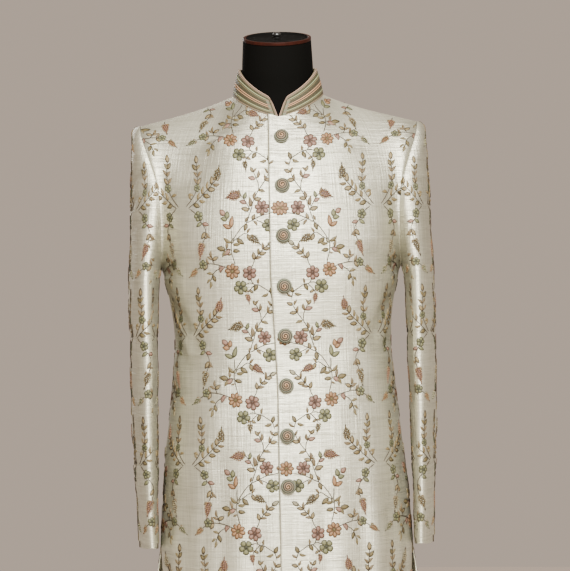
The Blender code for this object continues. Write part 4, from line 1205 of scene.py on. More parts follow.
def repeat_motifs(colours):
    """The shapes of one repeat: each with its place, turn and threads."""
    motifs = []
    for number, (across, up, direction, length, thread) in enumerate(LEAVES):
        outline, filling = LEAF_THREADS[thread]
        if thread in STROKE_THREADS and number % 5 not in (1, 3):
            outline = STROKE_THREADS[thread]
            made = stroke_shape(length * STROKE_LONGER, STROKE_BEND * (1 if number % 2 else -1))
        else:
            made = leaf_shape(length * LEAF_LONGER)
        motifs.append((made, (across, up), direction, (outline, filling, filling)))
    for across, up, radius, petals, turn, kind in FLOWERS:
        motifs.append((flower_shape(radius, petals), (across, up), turn, PETAL_THREADS[kind]))
    for across, up, direction, length, width, kind in BUDS:
        outline, filling, _ = PETAL_THREADS[colours.get(kind, kind)]
        threads = (outline, filling, PALER[filling])
        motifs.append((bud_shape(length, width), (across, up), direction, threads))
        for side in (-1, 1):
            sepal = stroke_shape(length * SEPAL_LENGTH, side * SEPAL_BEND)
            motifs.append((sepal, (across, up), direction + side * SEPAL_TURN, ("tan", "tan", "tan")))
    for across, up, direction, length, width, kind in LOTUS:
        place = (LOTUS_AT[0] + across, LOTUS_AT[1] + up)
        kind = colours.get(kind, kind)
        motifs.append((lotus_petal(length, width), place, direction, PETAL_THREADS[kind]))
    return motifs


def repeats_over(low, high, first, size):
    """The numbers of the repeats that reach from low to high, and one more at either end."""
    return range(int(math.floor((low - first) / size)) - 1, int(math.ceil((high - first) / size)) + 2)


def set_at(points, at, direction, chance):
    """A shape turned to its direction at its place, each a little off, as handwork is."""
    turn = direction + chance.uniform(-JITTER_TURN, JITTER_TURN)
    size = 1 + chance.uniform(-JITTER_SIZE, JITTER_SIZE)
    move = [value + chance.uniform(-1, 1) * JITTER_PLACE for value in at]
    return turned_by((points * (size, size, 1), None, None, None), turn, move)[0]


def embroider(name, surface, normals, cloth, mirrored, seed, material, origin_up, first_across):
    """Lays the repeats over a panel. A shape's flat points are looked up on the chart, moved out
    along the normals by their height, and cut off at the panel's edges."""
    chance = np.random.default_rng(seed)
    low, high = cloth.min(axis=(0, 1)) / MILLI, cloth.max(axis=(0, 1)) / MILLI
    pieces = []
    stems = [(stem_shape(stem), None, 0.0, ("brown", "brown", "brown")) for stem in STEMS]
    kinds = [repeat_motifs(colours) + stems for colours in ({}, SWAPPED)]
    for level in repeats_over(low[1], high[1], origin_up, REPEAT_UP):
        for place in repeats_over(low[0], high[0], first_across, REPEAT_ACROSS):
            flip = place % 2 == 1
            for made, at, direction, names in kinds[(level + place + seed) % 2]:
                points, quads, triangles, uv, thread = made
                if flip and at is not None and at[0] > MIRROR_LINE:
                    continue
                flat = points.copy() if at is None else set_at(points, at, direction, chance)
                if flip:
                    flat[:, 0] = REPEAT_ACROSS - flat[:, 0]
                flat[:, 0] += place * REPEAT_ACROSS + first_across
                flat[:, 1] += level * REPEAT_UP + origin_up
                middle = flat[:, :2].mean(axis=0)
                if np.any(middle <= low - STRAY) or np.any(middle >= high + STRAY):
                    continue
                tint = np.array([THREADS[n] for n in names])[thread]
                tint = tint * (1 + chance.uniform(-TINT_STRAY, TINT_STRAY))
                if flip:
                    quads, triangles = quads[:, ::-1], triangles[:, ::-1]
                pieces.append((flat, uv, tint, quads, triangles))
    counts = np.array([len(piece[0]) for piece in pieces])
    shape = np.repeat(np.arange(len(pieces)), counts)
    starts = np.concatenate(([0], np.cumsum(counts)[:-1]))
    flat, uv, tint = (np.concatenate([piece[k] for piece in pieces]) for k in range(3))
    quads, triangles = (np.concatenate([piece[k] + start for piece, start in zip(pieces, starts)])
                        for k in (3, 4))
    panel = (cloth, surface, normals, mirrored)
    return lay_on_cloth(name, panel, flat, quads, triangles, uv, tint, shape, material)


def lay_on_cloth(name, panel, flat, quads, triangles, uv, tint, shape, material):
    """Moves flat shapes onto a panel's outer face: each point goes to its place on the chart and
    out along the normal by its height. A shape that mostly misses the panel is left out, and the
    rest of it ends at the panel's edge."""
    cloth, surface, normals, mirrored = panel
    row, col = find_place(cloth, flat[:, :2] * MILLI)
    row = np.clip(row, 0, cloth.shape[0] - 1)
    col = np.clip(col, 0, cloth.shape[1] - 1)
    missed = np.linalg.norm(read_grid(cloth, row, col)[0] - flat[:, :2] * MILLI, axis=1) > EDGE_MISS
    share = np.bincount(shape, missed) / np.maximum(np.bincount(shape), 1)
    long_shape = np.bincount(shape, uv[:, 0] == 0.5) == np.bincount(shape) / 3
    points = read_grid(surface, row, col)[0]
    points = points + unit(read_grid(normals, row, col)[0]) * flat[:, 2:] * MILLI
    for faces, k in ((quads, 0), (quads, 1), (triangles, 0)):
        a, b = faces[:, k], faces[:, k + 1]
        stretched = np.linalg.norm(points[a] - points[b], axis=1) / MILLI
        stretched = stretched > STRETCH * np.linalg.norm(flat[a] - flat[b], axis=1) + 0.5
        missed[a[stretched]] = True
        share[np.unique(shape[a[stretched]])] = 1.0
    drop = np.where(long_shape[shape], missed, (share > MISSED_SHARE)[shape])
    quads = quads[~drop[quads].any(axis=1)]
    triangles = triangles[~drop[triangles].any(axis=1)]
    used = np.unique(np.concatenate((quads.ravel(), triangles.ravel())))
    renumber = np.zeros(len(points), int)
    renumber[used] = np.arange(len(used))
    if mirrored:
        points = points * MIRROR
        quads = quads[:, ::-1]
        triangles = triangles[:, ::-1]
    return mesh_object(name, points[used], renumber[quads], renumber[triangles],
                       uv=uv[used] * MILLI, thread=tint[used], material=material)


# ---- Materials ----


class Value:
    """A shader socket that takes part in plain arithmetic, on either side of a sign."""

    def __init__(self, maker, socket):
        self.maker = maker
        self.socket = socket

    def _math(self, kind, *values):
        return self.maker.node("ShaderNodeMath", {"operation": kind}, dict(enumerate(values)))

    def __add__(self, other):
        return self._math("ADD", self, other)

    def __sub__(self, other):
        return self._math("SUBTRACT", self, other)

    def __rsub__(self, other):
        return self._math("SUBTRACT", other, self)

    def __mul__(self, other):
        return self._math("MULTIPLY", self, other)

    def __pow__(self, other):
        return self._math("POWER", self, other)

    __radd__ = __add__
    __rmul__ = __mul__

    def sine(self):
        return self._math("SINE", self)

    def between(self, low, high):
        """0 at low, 1 at high, clamped."""
        return self.maker.node(
            "ShaderNodeMapRange", {"clamp": True},
            {"Value": self, "From Min": low, "From Max": high, "To Min": 0.0, "To Max": 1.0}, "Result")


class Maker:
    """Builds one material's nodes."""

    def __init__(self, name):
        self.material = bpy.data.materials.new(name)
        self.material.use_nodes = True
        self.tree = self.material.node_tree
        self.shader = self.tree.nodes["Principled BSDF"]

    def node(self, kind, settings, inputs, output=0):
        """Adds a node; inputs may be Values, numbers, vectors or colours."""
        made = self.tree.nodes.new(kind)
        for key, value in settings.items():
            setattr(made, key, value)
        for key, value in inputs.items():
            self.feed(made.inputs[key], value)
        return Value(self, made.outputs[output])

    def feed(self, socket, value):
        if isinstance(value, Value):
            self.tree.links.new(value.socket, socket)
        elif isinstance(value, tuple) and socket.type == "RGBA":
            socket.default_value = (*value[:3], 1.0)
        else:
            socket.default_value = value

    def uv(self):
        return self.node("ShaderNodeUVMap", {"uv_map": "cloth"}, {}, "UV")

    def place(self):
        return self.node("ShaderNodeTexCoord", {}, {}, "Object")

    def split(self, vector):
        made = self.tree.nodes.new("ShaderNodeSeparateXYZ")
        self.feed(made.inputs[0], vector)
        return [Value(self, out) for out in made.outputs]

    def join(self, x, y, z=0.0):
        return self.node("ShaderNodeCombineXYZ", {}, {"X": x, "Y": y, "Z": z})

    def noise(self, vector, scale=1.0, detail=2.0, roughness=0.5):
        return self.node("ShaderNodeTexNoise", {"noise_dimensions": "3D"},
                         {"Vector": vector, "Scale": scale, "Detail": detail, "Roughness": roughness})

    def mix(self, factor, low, high):
        return self.node("ShaderNodeMix", {"data_type": "RGBA"}, {0: factor, 6: low, 7: high}, 2)

    def attribute(self, name):
        return self.node("ShaderNodeAttribute", {"attribute_name": name}, {}, "Color")

    def tint(self, colour, amount):
        """A colour times a grey value."""
        grey = self.node("ShaderNodeCombineColor", {}, {0: amount, 1: amount, 2: amount})
        return self.node("ShaderNodeMix", {"data_type": "RGBA", "blend_type": "MULTIPLY"},
                         {0: 1.0, 6: colour, 7: grey}, 2)

    def bump(self, height, distance, strength=1.0):
        return self.node("ShaderNodeBump", {},
                         {"Height": height, "Distance": distance, "Strength": strength})

    def finish(self, **inputs):
        for key, value in inputs.items():
            self.feed(self.shader.inputs[key.replace("_", " ").title().replace("Ior", "IOR")], value)
        return self.material


def silk_material(name, colour, shade):
    """Raw silk: thick weft threads that run across, uneven along their length, over a fine
    weave, with slow changes of tone. Its numbers are repeats in a metre, across and up."""
    make = Maker(name)
    u, v, _ = make.split(make.uv())
    slub = make.noise(make.join(u * 26.0, v * 900.0), detail=3.0, roughness=0.6)
    thick = make.noise(make.join(u * 11.0, v * 230.0, 3.0), detail=2.0)
    long_slub = make.noise(make.join(u * 17.0, v * 520.0, 5.0), detail=1.0).between(0.58, 0.74)
    warp = make.noise(make.join(u * 420.0, v * 14.0, 11.0), detail=2.0)
    weave = 0.5 * (v * 9000.0).sine() + 0.3 * (u * 9000.0).sine()
    bands = make.noise(make.join(u * 8.0, v * 6.0, 7.0), detail=2.0)
    level = 0.4 * slub.between(0.25, 0.75) + 0.28 * thick.between(0.3, 0.7) + 0.32 * warp.between(0.3, 0.7)
    tone = make.mix(level, shade, colour)
    tone = make.tint(tone, 0.93 + 0.12 * bands.between(0.25, 0.75) - 0.09 * long_slub)
    height = 0.9 * slub + 0.8 * thick + 0.6 * long_slub + 0.8 * warp + 0.05 * weave
    return make.finish(base_color=tone, roughness=0.54 - 0.1 * level, metallic=0.85,
                       normal=make.bump(height, 0.0007, 1.0),
                       specular_ior_level=0.6, anisotropic=0.4, anisotropic_rotation=0.25)


def thread_material():
    """Stitched floss: each point's own colour, with fine strands along it."""
    make = Maker("embroidery floss")
    u, v, _ = make.split(make.uv())
    strand = make.noise(make.join(u * 2600.0, v * 500.0), detail=2.0)
    blotch = make.noise(make.place(), scale=160.0, detail=2.0)
    colour = make.tint(make.attribute("thread"), 0.4 + 0.7 * strand + 0.5 * blotch)
    return make.finish(base_color=colour, roughness=0.55, normal=make.bump(strand, 0.0004, 0.8),
                       specular_ior_level=0.4)


def couching_material():
    """Twisted cords laid side by side: each point's own colour, with painted shade between the plies, over
    a bump of the same plies.
    """
    make = Maker("couched cord")
    u, v, _ = make.split(make.uv())
    twist = (v * 3700.0 + u * 1800.0).sine().between(-1.0, 1.0)
    fine = make.noise(make.join(u * 2600.0, v * 1500.0), detail=2.0)
    # painted shade: the colour is made darker between the plies of the twist
    colour = make.tint(make.attribute("thread"), 0.4 + 0.45 * twist + 0.5 * fine)
    return make.finish(base_color=colour, roughness=0.52, normal=make.bump(twist + fine, 0.0003, 0.9),
                       specular_ior_level=0.4)


def jersey_material():
    """Black jersey: a small regular knit under slow changes of tone."""
    make = Maker("black form jersey")
    x, y, z = make.split(make.place())
    knit = 0.5 * (z * 5200.0).sine() + 0.5 * (x * 4200.0 + y * 4200.0).sine()
    cloudy = make.noise(make.place(), scale=9.0, detail=3.0)
    tone = make.mix(cloudy, linear(4, 4, 3), linear(7, 6, 5))
    return make.finish(base_color=tone, roughness=0.85, normal=make.bump(knit, 0.0001, 0.5),
                       specular_ior_level=0.03)


def wood_material():
    """Dark polished wood; the plate sunk inside the rim is nearly black."""
    make = Maker("polished dark wood")
    x, y, z = make.split(make.place())
    grain = make.noise(make.join(x * 40.0, y * 420.0, z * 420.0), detail=4.0, roughness=0.65)
    tone = make.mix(grain.between(0.3, 0.7), linear(26, 10, 7), linear(44, 18, 12))
    off = y - NECK_RINGS[-1][4]
    radius = (x * x + off * off) ** 0.5
    plate = radius.between(*CAP_PLATE_EDGE)
    tone = make.mix(plate, tone, linear(8, 7, 6))
    return make.finish(base_color=tone, roughness=0.38 + 0.4 * plate, specular_ior_level=0.04)


def painted_material(name, colour, roughness):
    """Paint with a fine mottle in tone, gloss and surface."""
    make = Maker(name)
    mottle = make.noise(make.place(), scale=260.0, detail=3.0)
    return make.finish(base_color=make.tint(colour, 0.8 + 0.4 * mottle), roughness=roughness + 0.1 * mottle,
                       normal=make.bump(mottle, 0.00006, 0.4))


def plain_material(name, colour, roughness):
    """One colour, all over."""
    make = Maker(name)
    return make.finish(base_color=colour, roughness=roughness, specular_ior_level=0.2)


# ---- Cloth pieces ----

VINE_UP = 1200.0  # height of the vine's level line on the chart, in millimetres
VINE_ON_SLEEVE = -118.0  # where the repeat starts, across from the sleeve's front edge
SLEEVE_SPAN = 206.0  # across the top sleeve, from its front edge to its back seam
SLIT_OPENING = 0.02  # the height over which the two edges of a side slit part


def at_columns(grid, places):
    """The grid at fractional columns, by linear steps between its own."""
    low = np.minimum(np.floor(places).astype(int), grid.shape[1] - 2)
    share = (places - low)[None, :, None]
    return grid[:, low] * (1 - share) + grid[:, low + 1] * share


def rounded_edge(from_edge):
    """How far the overlapping edge stands off, and the cloth's thickness there: the stand fades
    away from the edge, the outer face turns down at the edge in a quarter round, and both faces
    curl in over the last few millimetres."""
    stand = FRONT_EDGE_STAND * smooth(1 - from_edge / FRONT_EDGE_STAND_WIDTH)
    short = np.clip(1 - from_edge / FRONT_EDGE_TURN, 0, 1)
    turned = FRONT_EDGE_ROUND * (1 - np.sqrt(1 - short**2))
    rest = np.clip(1 - from_edge / FRONT_EDGE_CURL_WIDTH, 0, 1)
    curl = FRONT_EDGE_CURL * (1 - np.sqrt(1 - rest**2))
    return stand - turned - curl, CLOTH - turned


def level_across(grid, centre_column, across):
    """Length along the level line through each point, from the centre column outwards. Beside
    the neck, where a column has ended below that level, only its step sideways counts."""
    z = grid[..., 2]
    total = np.zeros(z.shape)
    before = None
    for place in range(centre_column, grid.shape[1]):
        rise = np.maximum.accumulate(z[:, place])
        x, y = (np.interp(z, rise, grid[:, place, axis]) for axis in (0, 1))
        ended = z > rise[-1]
        if before is not None:
            aside, down = x - before[0], y - before[1]
            step = np.where(ended | before[2], np.abs(aside), np.hypot(aside, down))
            total[:, place:] += step[:, place:]
        before = (x, y, ended)
    return np.concatenate((across[:, :centre_column], total[:, centre_column:]), axis=1)


def cloth_panel(name, grid, normals, cloth, seed, edges, silk, mirrored, thickness=CLOTH):
    """One closed panel of the coat that stands in for its solid; gives the outer face used."""
    outer = ripple(name, grid, normals, cloth, seed, edges)
    made = shell(f"{name}_cloth", outer, normals, thickness, cloth, silk, mirrored)
    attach(made, "root")
    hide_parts(name)
    return outer


def make_body(silk, floss):
    """The two fronts and the two backs with their embroidery; gives each outer face and normals."""
    halves = (
        ("left", +1, LAP_SHARE, FRONT_EDGE_PAST_CENTRE, LAP_LIFT),
        ("right", -1, UNDERLAP_SHARE, None, 0.0),
    )
    faces = {}
    for number, (name, side, past_share, past_centre, lift) in enumerate(halves):
        for part, (grid, angle, normals) in zip(("front", "back"), body_halves(past_share, past_centre)):
            back = part == "back"
            seam_normals(normals, back)
            moved = grid - normals * fold_depth(side * angle, grid[..., 2])[..., None]
            if back:
                moved = pull_in(moved, first_column=GAP / 2, last_column=GAP / 2, last_row=GAP)
            else:
                moved = lapped(moved, normals, lift)
                moved = pull_in(moved, last_column=GAP / 2, last_row=GAP)
            below = smooth((SLIT_TOP - moved[:, -1, 2]) / SLIT_OPENING) * SLIT_HALF_GAP
            moved[:, -1, 1] += below * (1 if back else -1)
            centre = 0 if back else PAST_CENTRE_STEPS
            cloth = chart(moved, normals, centre, -1 if back else 1)
            panel = f"{part}_{name}"
            thickness = CLOTH
            if panel == "front_left":
                places = np.concatenate((FRONT_EDGE_PLACES, np.arange(3, moved.shape[1])))
                moved, normals, cloth = (at_columns(grid, places) for grid in (moved, normals, cloth))
                centre += len(FRONT_EDGE_PLACES) - 3
                off, thickness = rounded_edge(cloth[..., 0] - cloth[:, :1, 0])
                moved = moved + normals * off[..., None]
            outer = cloth_panel(panel, moved, normals, cloth, number * 3 + back, ("last", "top"), silk,
                                side < 0, thickness)
            faces[panel] = (outer, normals)
            pattern = cloth.copy()
            pattern[..., 0] = level_across(moved, centre, cloth[..., 0])
            pattern[..., 1] -= YOKE_PULL * smooth((cloth[..., 1] - YOKE_FROM) / (YOKE_TO - YOKE_FROM))
            made = embroider(f"{panel}_embroidery", outer, normals, pattern, side < 0, number * 2 + back,
                             floss, VINE_UP, 0.0)
            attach(made, "root")
    return faces


def make_sleeves(silk, floss):
    """Top and under sleeves: one whole sleeve cut along its two seams, and mirrored."""
    grid = sleeve_grid()
    normals = sleeve_normals(grid)
    across = ARMHOLE_STEPS + 2 * FINE
    for name, columns in (("top_sleeve", slice(0, across + 1)), ("under_sleeve", slice(across, None))):
        moved = pull_in(grid[:, columns], first_column=GAP / 2, last_column=GAP / 2)
        facing = normals[:, columns]
        cloth = chart(moved, facing, FINE if name == "top_sleeve" else 0, 1)
        for number, (side, mirrored) in enumerate((("left", False), ("right", True))):
            panel = f"{name}_{side}"
            creased = f"sleeve_{side}" if name == "top_sleeve" else panel
            outer = ripple(creased, moved, facing, cloth, number + 11, ("first", "last", "top"))
            made = shell(f"{panel}_cloth", outer, facing, CLOTH, cloth, silk, mirrored)
            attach(made, "root")
            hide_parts(panel)
            stitched = embroider(f"{panel}_embroidery", outer, facing, cloth, mirrored, number + 5, floss,
                                 VINE_UP, VINE_ON_SLEEVE - (SLEEVE_SPAN if name == "under_sleeve" else 0.0))
            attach(stitched, "root")


# ---- Form, cap and stand ----

NECK_RING_COUNT = 26
FOOT_EDGE_SHARE = 0.975
FOOT_ROUND = 0.006
NECK_FOOT = 0.004  # the neck starts this far above the coat's neckline


def form_clearance(grid):
    """How far the form lies inside the coat's outer face: close at the shoulders only, with
    room round the neck for the collar."""
    ease = smooth((FORM_CLOSE_ABOVE - grid[..., 2]) / FORM_EASE)
    from_neck = np.hypot(grid[..., 0] / NECKLINE[0], grid[..., 1] / NECKLINE[1])
    near = smooth((NECK_ROOM_TO - from_neck) / (NECK_ROOM_TO - NECK_ROOM_FROM))
    neck_room = FORM_NECK_ROOM * near * (1 - ease)
    return FORM_CLEAR_AT_SHOULDER + (FORM_CLEAR_BELOW - FORM_CLEAR_AT_SHOULDER) * ease + neck_room


def neck_ring(row, turn):
    """A ring of the form's neck, from the level ring inside the collar to its slanted top."""
    rise, half_width, front, back, centre_y = row
    y = centre_y - np.where(np.cos(turn) > 0, front, back) * np.cos(turn)
    low = neck_edge(NECKLINE, turn)[:, 2] + NECK_FOOT
    high = NECK_TOP_Z + (y - NECK_RINGS[-1][4]) * math.tan(NECK_TOP_SLANT)
    return stack(half_width * np.sin(turn), y, low + (high - low) * rise)


def lathe(profile, segments):
    """A closed surface of revolution about Z: each profile point is a ring, and rings of no
    radius are single points. Gives points, quads, triangles and a (round, along) map."""
    profile = np.asarray(profile, float)
    angle = np.linspace(0, 2 * math.pi, segments + 1)[:-1]
    rings = profile[1:-1]
    points = stack(rings[:, :1] * np.cos(angle), rings[:, :1] * np.sin(angle), rings[:, 1:] + 0 * angle)
    count = len(rings) * segments
    quads = grid_quads(len(rings), segments, wrap=True)
    ids = np.arange(segments)
    after = np.roll(ids, -1)
    low = np.stack((after, ids, 0 * ids + count), axis=1)
    high = np.stack((ids, after, 0 * ids + segments + 1), axis=1) + count - segments
    ends = np.array(((0, 0, profile[0, 1]), (0, 0, profile[-1, 1])))
    uv = np.stack(np.broadcast_arrays(angle * 0.01, rings[:, 1:]), axis=-1).reshape(-1, 2)
    return (np.concatenate((points.reshape(-1, 3), ends)), quads, np.concatenate((low, high)),
            np.concatenate((uv, ends[:, 1:])))


def rounded_profile(corners, radius, steps=5):
    """A profile whose corners are rounded: each corner becomes a short quadratic curve."""
    corners = np.asarray(corners, float)
    made = [corners[:1]]
    t = np.linspace(0, 1, steps)[:, None]
    for before, at, after in zip(corners[:-2], corners[1:-1], corners[2:]):
        reach_in = min(radius, 0.45 * np.linalg.norm(at - before))
        reach_out = min(radius, 0.45 * np.linalg.norm(after - at))
        start = at + unit(before - at) * reach_in
        end = at + unit(after - at) * reach_out
        made.append((1 - t) ** 2 * start + 2 * t * (1 - t) * at + t**2 * end)
    made.append(corners[-1:])
    return np.concatenate(made)


def standing_on(points, seat, normal, squash=(1.0, 1.0, 1.0), turned=0.0):
    """Points given about Z, moved so that Z runs along a normal from a seat."""
    z_axis = unit(np.asarray(normal, float))
    x_axis = unit(np.cross(np.array((0.0, 1.0, 0.0)) if abs(z_axis[1]) < 0.9 else UP, z_axis))
    y_axis = np.cross(z_axis, x_axis)
    local = points * np.asarray(squash)
    c, s = math.cos(turned), math.sin(turned)
    x = local[:, 0] * c - local[:, 1] * s
    y = local[:, 0] * s + local[:, 1] * c
    return np.asarray(seat) + x[:, None] * x_axis + y[:, None] * y_axis + local[:, 2:] * z_axis


def make_form(jersey):
    """The limbless torso and neck: the coat's own half, moved inwards, mirrored and closed."""
    known = np.array(NECK_RINGS)
    rises = np.linspace(0, 1, NECK_RING_COUNT)
    rings = np.stack([rises] + [eased(known[:, 0], known[:, k], rises) for k in range(1, 5)], axis=-1)
    points = []
    quads = []
    triangles = []
    for back, (grid, _, normals) in enumerate(body_halves(0.0, None)):
        inner = grid - normals * form_clearance(grid)[..., None]
        arm_side = smooth((grid[..., 0] - FORM_ARM_FROM) / FORM_ARM_EASE)
        for axis, share in enumerate(FORM_ARM_SHARES):
            limit = np.abs(grid[..., axis]) * (1 - (1 - share) * arm_side)
            inner[..., axis] = np.clip(inner[..., axis], -limit, limit)
        inner[..., 2] -= FORM_ARM_DROP * arm_side
        inner[:, 0, 0] = 0
        inner = inner[grid[:, 0, 2] > FORM_BOTTOM + 0.01]
        foot = inner[0] * (1, 1, 0) + FORM_BOTTOM * UP
        edge = foot * (FOOT_EDGE_SHARE, FOOT_EDGE_SHARE, 1)
        bend = foot + FOOT_ROUND * UP
        torso = np.concatenate((edge[None], (foot * 0.75 + edge * 0.25)[None] + FOOT_ROUND * 0.1 * UP,
                                (bend * 0.75 + foot * 0.25)[None], inner))
        turn = np.linspace(math.pi if back else 0.0, NECK_POINT_TURN, NECK_STEPS + 1)
        neck = np.stack([inner[-1, : NECK_STEPS + 1]] + [neck_ring(row, turn) for row in rings])
        neck[:, 0, 0] = 0
        top = np.array((0.0, NECK_RINGS[-1][4], NECK_TOP_Z))
        arm = inner[-1, NECK_STEPS + SHOULDER_STEPS :]
        plate = np.array((ARM_PLATE_X, SHOULDER_TIP[1], ARM_PLATE_Z))
        fans = ((edge, np.array((0.0, 0.0, FORM_BOTTOM))), (neck[-1], top), (arm, plate))
        for flip in (1, -1):
            side = np.array((flip, 1, 1))
            for sheet in (torso, neck):
                quads.append(grid_quads(*sheet.shape[:2], first=sum(map(len, points))))
                points.append(sheet.reshape(-1, 3) * side)
            for rim, middle in fans:
                first = sum(map(len, points))
                ids = np.arange(len(rim) - 1) + first
                triangles.append(np.stack((ids, ids + 1, np.full(len(ids), first + len(rim))), axis=1))
                points.append(np.concatenate((rim, middle[None])) * side)
    made = mesh_object("form_jersey_cover", np.concatenate(points), np.concatenate(quads),
                       np.concatenate(triangles), material=jersey)
    close_up(made)
    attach(made, "root")
    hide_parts("form_torso")


def close_up(made):
    """Merges points that lie together and turns all faces outwards."""
    whole = bmesh.new()
    whole.from_mesh(made.data)
    bmesh.ops.remove_doubles(whole, verts=whole.verts[:], dist=2e-5)
    bmesh.ops.recalc_face_normals(whole, faces=whole.faces[:])
    whole.to_mesh(made.data)
    whole.free()
    made.data.shade_smooth()
    made.data.set_sharp_from_angle(angle=math.radians(40))


def turned_piece(name, node, profile, segments, material, seat=(0, 0, 0), normal=(0, 0, 1),
                 squash=(1.0, 1.0, 1.0)):
    """A lathe piece that stands in for its plainer solid."""
    points, quads, triangles, uv = lathe(profile, segments)
    made = mesh_object(name, standing_on(points, seat, normal, squash), quads, triangles, uv=uv,
                       material=material)
    close_up(made)
    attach(made, "root")
    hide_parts(node)


def make_cap(wood, lacquer):
    """The slanted cap on the neck, a wooden disc with a raised rim, and its knob."""
    _, half_width, front, back, centre_y = NECK_RINGS[-1]
    depth = (front + back) / 2
    rim = 1 - CAP_RIM / half_width
    plate = CAP_THICK - CAP_SINK
    corners = ((0, 0), (1, 0), (1, CAP_THICK), (rim, CAP_THICK), (rim - CAP_BEVEL, plate), (0, plate))
    scaled = [(r * half_width, h) for r, h in corners]
    lift = np.array((0.0, -math.sin(NECK_TOP_SLANT), math.cos(NECK_TOP_SLANT)))
    seat = np.array((0.0, centre_y - (front - back) / 2, NECK_TOP_Z))
    squash = (1.0, depth / math.cos(NECK_TOP_SLANT) / half_width, 1.0)
    turned_piece("neck_cap_turned", "neck_cap", rounded_profile(scaled, 0.0012), 96, wood,
                 seat + lift * GAP * 1.5, lift, squash)
    scaled = [(r * KNOB_RADIUS, h * KNOB_HEIGHT) for r, h in KNOB_PROFILE]
    turned_piece("cap_knob_turned", "cap_knob", rounded_profile(scaled, 0.0008), 40,
                 lacquer, seat + lift * (GAP * 3 + plate), lift)


def make_stand(steel):
    """A pole up to the form and a round base with a domed top."""
    base = ((0.0, 0.0), (BASE_RADIUS, 0.0), (BASE_RADIUS, BASE_EDGE), (BASE_RADIUS * 0.62, 0.0125),
            (BASE_HUB_RADIUS * 1.35, 0.0170), (BASE_HUB_RADIUS, 0.0205),
            (BASE_HUB_RADIUS * 0.86, BASE_HUB_Z), (0.0, BASE_HUB_Z))
    turned_piece("stand_base_turned", "stand_base", rounded_profile(base, 0.003), 128, steel)
    low = BASE_HUB_Z + GAP
    high = FORM_BOTTOM - GAP
    pole = ((0.0, low), (POLE_RADIUS, low), (POLE_RADIUS, high - 0.030), (POLE_RADIUS * 2.1, high - 0.012),
            (POLE_RADIUS * 2.1, high), (0.0, high))
    turned_piece("stand_pole_turned", "stand_pole", rounded_profile(pole, 0.004), 64, steel)


# ---- Collar and buttons ----

COLLAR_THREADS = {  # linear colours
    "piping": (0.360, 0.238, 0.168),
    "tan": (0.228, 0.160, 0.094),
    "rose_tan": (0.246, 0.150, 0.097),
    "sage": (0.262, 0.272, 0.140),
    "olive_gold": (0.164, 0.132, 0.064),
    "olive": (0.074, 0.063, 0.029),
    "peach": (0.420, 0.240, 0.126),
    "grey_sage": (0.196, 0.196, 0.125),
    # partly painted shadow: the ground cloth between the couched cords, made very dark for the shade in the
    # gaps
    "ground": (0.040, 0.031, 0.013),
    "facing": (0.198, 0.165, 0.099),
}
# Couched cords from the collar's top edge down: place and half width as shares of its height,
# thread and height in millimetres.
COLLAR_CORDS = (
    (0.022, 0.030, "piping", 1.3), (0.084, 0.030, "tan", 0.9), (0.146, 0.030, "olive", 0.9),
    (0.232, 0.034, "sage", 1.1), (0.300, 0.028, "olive_gold", 0.8), (0.358, 0.028, "olive", 0.7),
    (0.414, 0.024, "olive", 0.6), (0.496, 0.034, "peach", 1.1), (0.582, 0.030, "peach", 1.1),
    (0.660, 0.028, "olive", 0.8), (0.718, 0.028, "olive", 0.7), (0.782, 0.032, "sage", 1.0),
    (0.842, 0.028, "olive_gold", 0.8), (0.902, 0.028, "olive", 0.8), (0.964, 0.032, "tan", 0.9),
)
COLLAR_RISE_ROWS = 110
NOTCH_COLUMNS = 32
NOTCH_SHARE = 0.068
COLLAR_COLUMNS = 96
NOTCH_HEIGHT = 0.028  # the notch's own cords are spaced as on a collar of this height
NOTCH_BAND = 0.0105
CORNER_SHARE = 0.16
TURNED_DOWN = 0.19  # the cords above this share of the way down turn along the notch
CROSS_PITCH = 0.0017


def collar_relief(from_notch, down):
    """Height in metres and thread colour of the collar's couching, from the distance to the
    notch and the share of the way down. The upper cords turn down along the notch, where a band
    of crossed stitches ends the others. The colour carries painted shade: each cord darkens
    towards its feet, the crossed stitches darken in their hollows, and the very dark ground between
    the cords is the ground cloth painted as the shadow in the gaps."""
    beside = from_notch / NOTCH_HEIGHT
    left, above = (np.maximum(CORNER_SHARE - share, 0) for share in (beside, down))
    rounded = CORNER_SHARE - np.hypot(left, above)
    from_edge = np.where((left > 0) & (above > 0), rounded, np.minimum(beside, down))
    level = np.where(from_edge < TURNED_DOWN, from_edge, down)
    height = np.zeros(level.shape)
    # the ground between the cords: its own cloth darkened as painted shadow in the gaps
    colour = np.tile(np.array(COLLAR_THREADS["ground"]), (*level.shape, 1))
    for place, half, thread, high in COLLAR_CORDS:
        inside = np.abs(level - place) < half
        dome = np.sqrt(np.clip(1 - ((level - place) / half) ** 2, 0, 1))
        height = np.where(inside, dome * high * MILLI, height)
        # painted shade: each cord's colour darkens from its crest towards its feet, nearly to black
        tone = np.array(COLLAR_THREADS[thread]) * (0.04 + 0.96 * dome[..., None] ** 2.5)
        colour = np.where(inside[..., None], tone, colour)
    crossed = (from_edge >= TURNED_DOWN) & (from_notch < NOTCH_BAND)
    along = down * NOTCH_HEIGHT * 1.3
    stitch = np.abs(np.sin(math.pi * (from_notch + along) / CROSS_PITCH)
                    * np.sin(math.pi * (from_notch - along) / CROSS_PITCH))
    warm = (np.sin(along * 900) > 0.55)[..., None]
    stitched = np.where(warm, COLLAR_THREADS["rose_tan"], COLLAR_THREADS["grey_sage"])
    height = np.where(crossed, stitch * 0.8 * MILLI, height)
    # painted shade: the crossed stitches are lighter on their crests and darker in their hollows
    colour = np.where(crossed[..., None], stitched * (0.45 + 0.75 * stitch[..., None]), colour)
    return height, colour


